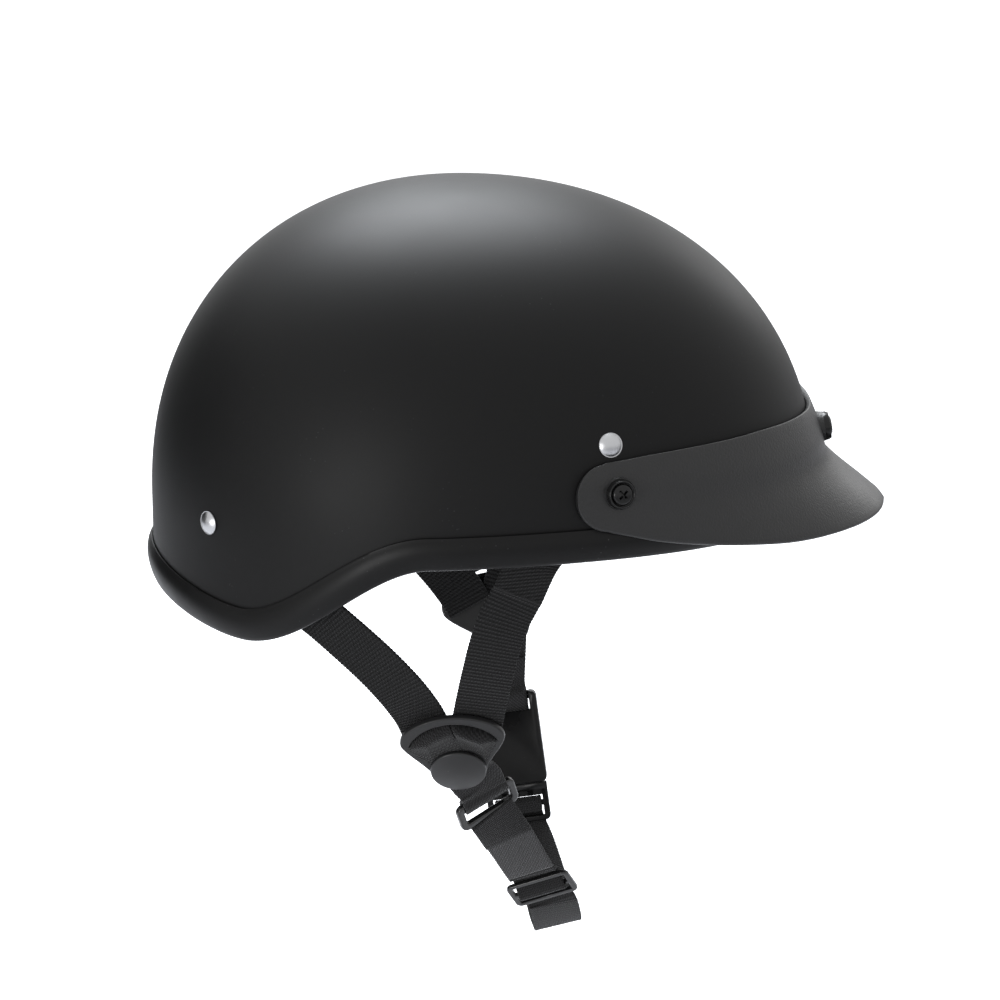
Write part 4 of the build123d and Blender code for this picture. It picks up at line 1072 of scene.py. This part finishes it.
buildSpring(springLook)
print("spring built")


# Strap plates: a rounded frame, two folds of webbing that bulge from its slot, and a domed cap

plateLook = {
    "arch": 14.2, "shoulder": (17.8, 7.6), "sideX": 20.7, "sideTop": 3.0, "sideLow": -1.5, "neck": 11.5,
    "soften": 2, "thickness": 2.6, "bevel": 0.65, "slotHalf": 17.6, "slotEnd": -1.0, "slotArch": 10.3,
    "slotInner": 2.6, "holeRadius": 2.6, "capHeight": 5.9, "capBase": 2.7, "capCrown": 1.2, "capEdge": 0.7,
    "capSoft": 0.3,
}
foldLook = {
    "columns": 84, "rows": 26, "arcGap": 0.9, "dips": (2.6, 0.9), "crest": 4.0, "floor": 2.7, "back": -0.6,
    "thickness": 0.9, "ribPitch": 1.15, "ribDepth": 0.16, "ribPlace": 0.1, "ribFade": 0.16, "sideInset": 2.2,
    "capInset": 0.4, "endInset": 0.5, "creaseX": 0.3, "creaseLean": 0.22, "least": 1.2, "crestFade": 0.42,
    "endFull": 0.04, "fullness": 0.45, "dipPace": 1.1, "bellyPace": 3.0, "bellyStart": 0.02, "bellyCurve": 0.8,
    "bellyShare": 0.7, "crestDrop": 1.0,
}


def arcHeight(x, half, end, top):
    # Height of a circular arc that runs from (-half, end) over (0, top) to (half, end)
    rise = top - end
    radius = (half ** 2 + rise ** 2) / (2 * rise)
    return top - radius + sqrt(max(radius ** 2 - x ** 2, 0.0))


def arcLine(count, half, end, top):
    return [Vector((x - half, arcHeight(x - half, half, end, top))) for x in steps(count, 2 * half)]


def plateOutline(look):
    drop = lowerLook["capDrop"]
    side = [(look["sideX"], look["sideTop"]), (look["sideX"], look["sideLow"]), (look["neck"], -drop)]
    chin = arcSpots(0, -drop, look["neck"], lowerLook["capRadius"], steps(12, -pi)[1:-1])
    mirrored = [(-x, y) for x, y in side[::-1]]
    points = arcLine(24, *look["shoulder"], look["arch"]) + [Vector(spot) for spot in side + chin + mirrored]
    for _ in range(look["soften"]):      # cuts the corners
        pairs = zip(points, points[1:] + points[:1])
        points = [first.lerp(second, share) for first, second in pairs for share in (0.25, 0.75)]
    return points


def flatPiece(name, loops, look, matrix, node):
    # A flat plate with holes and rounded edges, from closed loops of (x, y)
    curve = bpy.data.curves.new(name, "CURVE")
    curve.dimensions, curve.fill_mode, curve.bevel_resolution = "2D", "BOTH", 3
    curve.extrude = look["thickness"] / 2 - look["bevel"]
    curve.bevel_depth, curve.offset = look["bevel"], -look["bevel"]
    for loop in loops:
        spline = curve.splines.new("POLY")
        spline.points.add(len(loop) - 1)
        for point, spot in zip(spline.points, loop):
            point.co = (spot.x, spot.y, 0, 1)
        spline.use_cyclic_u = True
    maker = newObject(name + "Maker", curve)
    mesh = evaluatedMesh(maker)
    points = [matrix @ (vertex.co + Vector((0, 0, look["thickness"] / 2))) for vertex in mesh.vertices]
    bpy.data.objects.remove(maker)
    addPiece(name, points, [tuple(face.vertices) for face in mesh.polygons], "plate", node, sharpAngle=30)


def panelLow(x, look):
    # The webbing ends at the cap or, beyond it, at the plate's sloping side
    radius = lowerLook["capRadius"] - foldLook["capInset"]
    cap = sqrt(max(radius ** 2 - x ** 2, 0.0)) - lowerLook["capDrop"]
    slope = (look["sideLow"] + lowerLook["capDrop"]) / (look["sideX"] - look["neck"])
    edge = look["sideLow"] - slope * (look["sideX"] - abs(x)) + foldLook["sideInset"] * hypot(1, slope)
    return max(cap, edge)


def webbingFold(name, way, plate, side, look, slot):
    outer = slot["slotHalf"] - look["endInset"]
    dip = look["dips"][0 if way > 0 else 1]
    rows, uvs = [], []
    for share in steps(look["columns"]):
        x = way * (look["creaseX"] + (outer - look["creaseX"]) * share)
        top = arcHeight(x, slot["slotHalf"], slot["slotEnd"], slot["slotArch"])
        top -= look["arcGap"] + dip * sin(pi * min(share * look["dipPace"], 1.0))
        low = min(panelLow(x, slot), top - look["least"])
        # Full in the middle of each fold, drawn in at the crease and at the slot's end
        full = swelling(share, look["endFull"]) ** look["fullness"]
        rib = cos(tau * share * outer / look["ribPitch"]) * look["ribDepth"]
        front = []
        for down in steps(look["rows"]):
            y = top + (low - top) * down
            fade = exp(-((down - look["ribPlace"]) / look["ribFade"]) ** 2)
            rising = min(down * look["bellyPace"] + look["bellyStart"], 1.0)
            belly = sin(pi / 2 * rising ** look["bellyCurve"])
            high = look["crest"] * full - look["crestDrop"]
            crest = look["floor"] + high * exp(-(down / look["crestFade"]) ** 2)
            z = look["back"] + (crest - look["back"]) * belly ** look["bellyShare"] + rib * fade * belly
            front.append(Vector((x + look["creaseLean"] * (top - y) * (1 - share), y, z)))
            uvs.append((x, y))
        uvs += uvs[-len(front):][::-1]
        back = [spot - Vector((0, 0, look["thickness"])) for spot in front[::-1]]
        rows.append([plate @ spot for spot in front + back])
    node = ("front_strap_" if (way > 0) == (side == "right") else "rear_strap_") + side
    skinPiece(name, rows, "foldedWebbing", node, slotName="webbing", uvs=uvs, sharpAngle=60)


def buildPlates(look):
    half, end = look["slotHalf"], look["slotEnd"]
    slot = arcLine(32, half, end, look["slotArch"]) + arcLine(32, half, end, look["slotInner"])[-2:0:-1]
    drop, radius, top = lowerLook["capDrop"], lowerLook["capRadius"], look["capHeight"]
    hole = [polar(look["holeRadius"], turn) - Vector((0, drop, 0)) for turn in rounds(32)]
    base, crown, edge, soft = (look[part] for part in ("capBase", "capCrown", "capEdge", "capSoft"))
    profile = [(axisRadius, base), (radius - soft, base), (radius, base + soft)]
    profile += arcSpots(radius - edge, top - crown - edge, edge, edge, steps(4, pi / 2))
    profile += [((radius - edge) * share, top - crown * share ** 2) for share in steps(6, 0.9)[:0:-1]]
    profile.append((axisRadius, top))
    for side, plate in plateFrames.items():
        flatPiece("strapFrame_" + side, [plateOutline(look), slot, hole], look, plate, "strap_plate_" + side)
        webbingFold(f"slotFoldA_{side}", 1, plate, side, foldLook, look)
        webbingFold(f"slotFoldB_{side}", -1, plate, side, foldLook, look)
        turnedPiece("plateDisc_" + side, profile, plate @ Matrix.Translation((0, -drop, 0)), "cap",
                    "plate_cap_" + side, segments=96, sharpAngle=50, slotName="plate")


buildPlates(plateLook)
print("strap plates built")


# Linings: a quilted cloth dome, and pads that a cloth simulation fills

padLook = {
    "inset": 27.0, "rise": 7.0, "edge": 2.5, "edgeShare": 0.6, "endShare": 0.05, "columns": 56,
    "sectionSteps": 12, "start": 0.82, "voxel": 3.2, "pressure": 4.0, "frames": 20, "cap": 1.6,
    "holdDepth": 1.5, "holdFade": 3.0, "holdLeast": 0.02, "seamDepth": 1.7, "seamWidth": 1.5,
    "piping": 1.0, "pipingInset": 0.6, "pipingShare": 0.7, "fill": 0.7, "section": 0.6,
}
padPlaces = {      # from and to in degrees, height, thickness, the sewn channels across it, and its node
    "browCushion": (-52.0, 52.0, 34.0, 9.0, (-26.0, 0.0, 26.0), "brow_pad"),
    "napeCushion": (142.0, 218.0, 36.0, 9.0, (166.0, 194.0), "nape_pad"),
    "sideCushionLeft": (62.0, 112.0, 34.0, 7.5, (87.0,), "side_pad_left"),
    "sideCushionRight": (248.0, 298.0, 34.0, 7.5, (273.0,), "side_pad_right"),
}
liningSkin = {"outer": 24.3, "inner": 26.4, "rise": 4.8, "columns": 220, "rows": 64, "lowRows": 8,
              "diamond": 26.0, "depth": 1.2, "valley": 6.0, "calm": 30.0, "crownTilt": 0.6, "girth": 95.0,
              "binding": 1.3, "bindingRise": 0.4, "fill": 0.3}
crownLook = {"radius": 40.0, "thickness": 8.0, "channels": 3, "columns": 72, "rings": 14, "calm": 12.0}


def inflate(piece, look, hold, channel):
    # Remeshed, blown up as a cloth bag with its back held, smoothed, and drawn in along its sewn channels
    remesh = piece.modifiers.new("remesh", "REMESH")
    remesh.mode, remesh.voxel_size = "VOXEL", look["voxel"] * mm
    applyModifiers(piece)
    start = [vertex.co.copy() for vertex in piece.data.vertices]
    cloth = piece.modifiers.new("cloth", "CLOTH")
    cloth.settings.use_pressure = True
    cloth.settings.uniform_pressure_force = look["pressure"]
    cloth.settings.effector_weights.gravity = 0.0
    cloth.point_cache.frame_end = look["frames"]
    for frameNumber in range(1, look["frames"] + 1):
        scene.frame_set(frameNumber)
    blown = [vertex.co.copy() for vertex in evaluatedMesh(piece).vertices]
    piece.modifiers.clear()
    scene.frame_set(1)
    for vertex, before, after in zip(piece.data.vertices, start, blown):
        move = after - before
        reach = look["cap"] * mm * hold(before / mm)
        vertex.co = before + (move if move.length <= reach else move.normalized() * reach)
    smooth = piece.modifiers.new("smooth", "SUBSURF")
    smooth.levels = smooth.render_levels = 2
    applyModifiers(piece)
    for vertex in piece.data.vertices:
        spot = vertex.co / mm
        near, pull = channel(spot)
        seam = exp(-(near / look["seamWidth"]) ** 2) * hold(spot)
        vertex.co += pull * (look["seamDepth"] * seam * mm)


def finishCushion(piece, node):
    piece.data.shade_smooth()
    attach(piece, "helmet")
    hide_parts(node)


def heldShare(off, look):
    # The back rests on the lining, so only what stands off it may swell
    return clamp((off - look["holdDepth"]) / look["holdFade"], look["holdLeast"])


def tubePiece(name, path, radius, node, sides=10):
    rows = []
    for index, spot in enumerate(path):
        ahead = (path[(index + 1) % len(path)] - path[index - 1]).normalized()
        side = ahead.cross(levelOut(spot)).normalized()
        out = ahead.cross(side)
        rows.append([spot + (side * cos(turn) + out * sin(turn)) * radius for turn in rounds(sides)])
    skinPiece(name, rows, "lining", node, closedRows=True)


def buildPad(name, place, look):
    start, end, height, thickness, channels, node = place
    edge, inset, border = look["edge"], look["inset"], look["edge"] * look["edgeShare"]
    rows, upper, lower = [], [], []
    for share in steps(look["columns"]):
        # The section draws in towards the pad's ends
        azimuth = radians(start + (end - start) * share)
        swell = sqrt(swelling(share, look["endShare"]))
        low = rimHeight(domeSpot(azimuth, 0.0, inset).x) + look["rise"] + height * (1 - swell) / 2
        high = low + height * swell
        depth = (edge + (thickness - edge) * swell) * look["start"]
        back, front = [], []
        for up in steps(look["sectionSteps"]):
            crown = border + (depth - border) * max(sin(pi * up), 0.0) ** look["section"]
            for line, offset in ((back, 0.0), (front, -crown)):
                line.append(domeSpot(azimuth, low + (high - low) * up, inset, offset))
        rows.append(back + front[::-1])
        for line, level in ((upper, high - look["pipingInset"]), (lower, low + look["pipingInset"])):
            line.append(domeSpot(azimuth, level, inset, -edge * look["pipingShare"]))
    points = [point for row in rows for point in row]
    piece = addMesh(name, points, skinFaces(len(rows), len(rows[0])), materials["lining"])

    def hold(spot):
        back = domeSpot(atan2(spot.y, spot.x), spot.z, inset)
        return heldShare((back - Vector(spot)).length, look)

    def channel(spot):
        azimuth = degrees(atan2(spot.y, spot.x)) % 360
        near = min(abs((azimuth - line + 180) % 360 - 180) for line in channels)
        return radians(near) * hypot(spot.x, spot.y), levelOut(spot)

    inflate(piece, look, hold, channel)
    finishCushion(piece, node)
    tubePiece(name + "Piping", upper + lower[::-1], look["piping"], node)


def buildCrownPad(look, pad):
    reach = look["radius"] / (dome["halfWidth"] - pad["inset"])
    tip, deep = dome["crown"] - pad["inset"], look["thickness"] * pad["start"]
    border = pad["edge"] * pad["edgeShare"]

    def level(share):
        return tip * (1 - share ** dome["power"]) ** (1 / dome["power"])

    lines = []
    for azimuth in rounds(look["columns"]):
        back, front = [], []
        for share in steps(look["rings"])[1:]:
            out = planReach(azimuth, pad["inset"]) * reach * share
            back.append(polar(out, azimuth, level(reach * share)))
            front.append(back[-1] - Vector((0, 0, border + (deep - border) * (1 - share ** 3))))
        lines.append(front + back[::-1])
    piece = addMesh("crownCushion", *bowlMesh(lines, (tip - deep, tip)), materials["lining"])

    def hold(spot):
        share = abs(spot.x / planReach(atan2(spot.y, spot.x), pad["inset"]))
        return heldShare(level(min(share, 0.99)) - spot.z, pad)

    def channel(spot):
        gap = pi / look["channels"]
        out = hypot(spot.x, spot.y)
        near = abs((atan2(spot.y, spot.x) + gap / 2) % gap - gap / 2) * out
        return near, Vector((0, 0, min(out / look["calm"], 1.0)))

    inflate(piece, pad, hold, channel)
    finishCushion(piece, "crown_pad")


def quilted(spot, azimuth, look):
    turn = azimuth * round(tau * look["girth"] / look["diamond"]) / 2
    climb = spot.z * pi / look["diamond"]
    near = min(abs(sin(turn + climb)), abs(sin(turn - climb)))
    fade = min(hypot(spot.x, spot.y) / look["calm"], 1.0)
    valley = exp(-near * look["valley"]) * look["depth"] * fade
    return spot + Vector((spot.x, spot.y, spot.z * look["crownTilt"])).normalized() * valley


def buildLining(look):
    # The quilting is worked in code, because the cloth is glued to the foam behind it
    lines, path = [], []
    for azimuth in rounds(look["columns"]):
        inner, outer = (bowlColumn(azimuth, inset, look["rise"], look["rows"], look["lowRows"])
                        for inset in (look["inner"], look["outer"]))
        lines.append([quilted(spot, azimuth, look) for spot in inner[::-1]] + outer)
        spot = domeSpot(azimuth, 0.0, (look["outer"] + look["inner"]) / 2)
        path.append(Vector((spot.x, spot.y, rimHeight(spot.x) + look["rise"] + look["bindingRise"])))
    points, faces = bowlMesh(lines, (dome["crown"] - look["inner"], dome["crown"] - look["outer"]))
    lining = addPiece("quiltedLining", points, faces, "lining", "comfort_liner")
    tubePiece("liningBinding", path, look["binding"], "comfort_liner")


buildLining(liningSkin)
for name, place in padPlaces.items():
    buildPad(name, place, padLook)
buildCrownPad(crownLook, padLook)
print("linings built")


# Floor, lights and the white background

studio = {
    "floorHeight": -0.48, "floorSize": 14.0, "floorTone": 0.86, "ambient": 0.45, "floorGlow": 0.75,
    "flagPlace": (-1.75, 0.85, 0.0), "flagSize": (2.2, 1.9),
}
lamps = {      # place, aim, size, power and tint
    "overhead": ((-0.17, 0.88, 1.4), (0.0, 0.0, 0.05), 1.3, 60.0, (0.93, 0.965, 1.0)),
    "brow": ((0.95, 1.45, 0.62), (0.1, 0.0, 0.0), 0.7, 2.4, (1.0, 1.0, 1.0)),
    "side": ((-1.25, -1.7, 0.12), (0.0, 0.0, 0.0), 0.8, 14.0, (1.0, 1.0, 1.0)),
}


def stageCard(name, middle, across, up, parts):
    # A flat card in metres that isn't part of the object
    middle, across, up = (Vector(spot) / mm for spot in (middle, across, up))
    corners = [middle - across - up, middle + across - up, middle + across + up, middle - across + up]
    card = addMesh(name, corners, [(0, 1, 2, 3)], parts[0])
    return card


def rayMask(tree, *kinds):
    # One for the rays of any of these kinds
    rays = addNode(tree, "ShaderNodeLightPath").outputs
    mask = rays[kinds[0]]
    for kind in kinds[1:]:
        mask = calc(tree, "MAXIMUM", mask, rays[kind])
    return mask


def buildStudio(setup):
    half, glow = setup["floorSize"] / 2, setup["floorGlow"]
    parts = startMaterial("paleFloor", Roughness=0.9, Base_Color=grey(setup["floorTone"]),
                          Specular_IOR_Level=0.1, Emission_Strength=1.0)
    tree, shader = parts[1:]
    seen = rayMask(tree, "Is Camera Ray", "Is Transmission Ray")
    lit = blendColour(tree, seen, (0, 0, 0, 1), (glow, glow, glow, 1))
    tree.links.new(lit, shader.inputs["Emission Color"])
    stageCard("floor", (0, 0, setup["floorHeight"]), (half, 0, 0), (0, half, 0), parts)

    world = bpy.data.worlds.new("studioWorld")
    scene.world = world
    world.use_nodes = True
    tree = world.node_tree
    background = tree.nodes["Background"].inputs
    seen = rayMask(tree, "Is Camera Ray", "Is Glossy Ray", "Is Transmission Ray")
    background["Color"].default_value = (1, 1, 1, 1)
    tree.links.new(remap(tree, seen, 0.0, 1.0, setup["ambient"], 1.0), background["Strength"])

    # A black card that only gloss sees darkens the shell beside its rim
    place, (width, height) = Vector(setup["flagPlace"]), setup["flagSize"]
    across = Vector((-place.y, place.x, 0)).normalized() * width / 2
    parts = startMaterial("blackCard", Roughness=1.0, Base_Color=(0.0, 0.0, 0.0, 1.0), Specular_IOR_Level=0.0)
    flag = stageCard("flag", place, across, (0, 0, height / 2), parts)
    flag.visible_camera = flag.visible_diffuse = flag.visible_shadow = flag.visible_transmission = False

    for name, (spot, aim, size, power, tint) in lamps.items():
        data = bpy.data.lights.new(name, "AREA")
        data.shape, data.size, data.energy, data.color = "DISK", size, power, tint
        light = newObject(name, data)
        light.location = spot
        light.rotation_euler = (Vector(spot) - Vector(aim)).to_track_quat("Z", "Y").to_euler()


buildStudio(studio)
print("studio built")


# The solids that stay: smooth shading and the finish of their material slot

weldReach = 0.01
for entry in frame["record"]["subparts"]:
    node = frame["nodes"][entry["node"]]
    node.data.materials.clear()
    node.data.materials.append(materials[entry["material_slot"]])
    node.modifiers.new("weld", "WELD").merge_threshold = weldReach * mm
    for face in node.data.polygons:
        face.use_smooth = True
print("solids dressed")
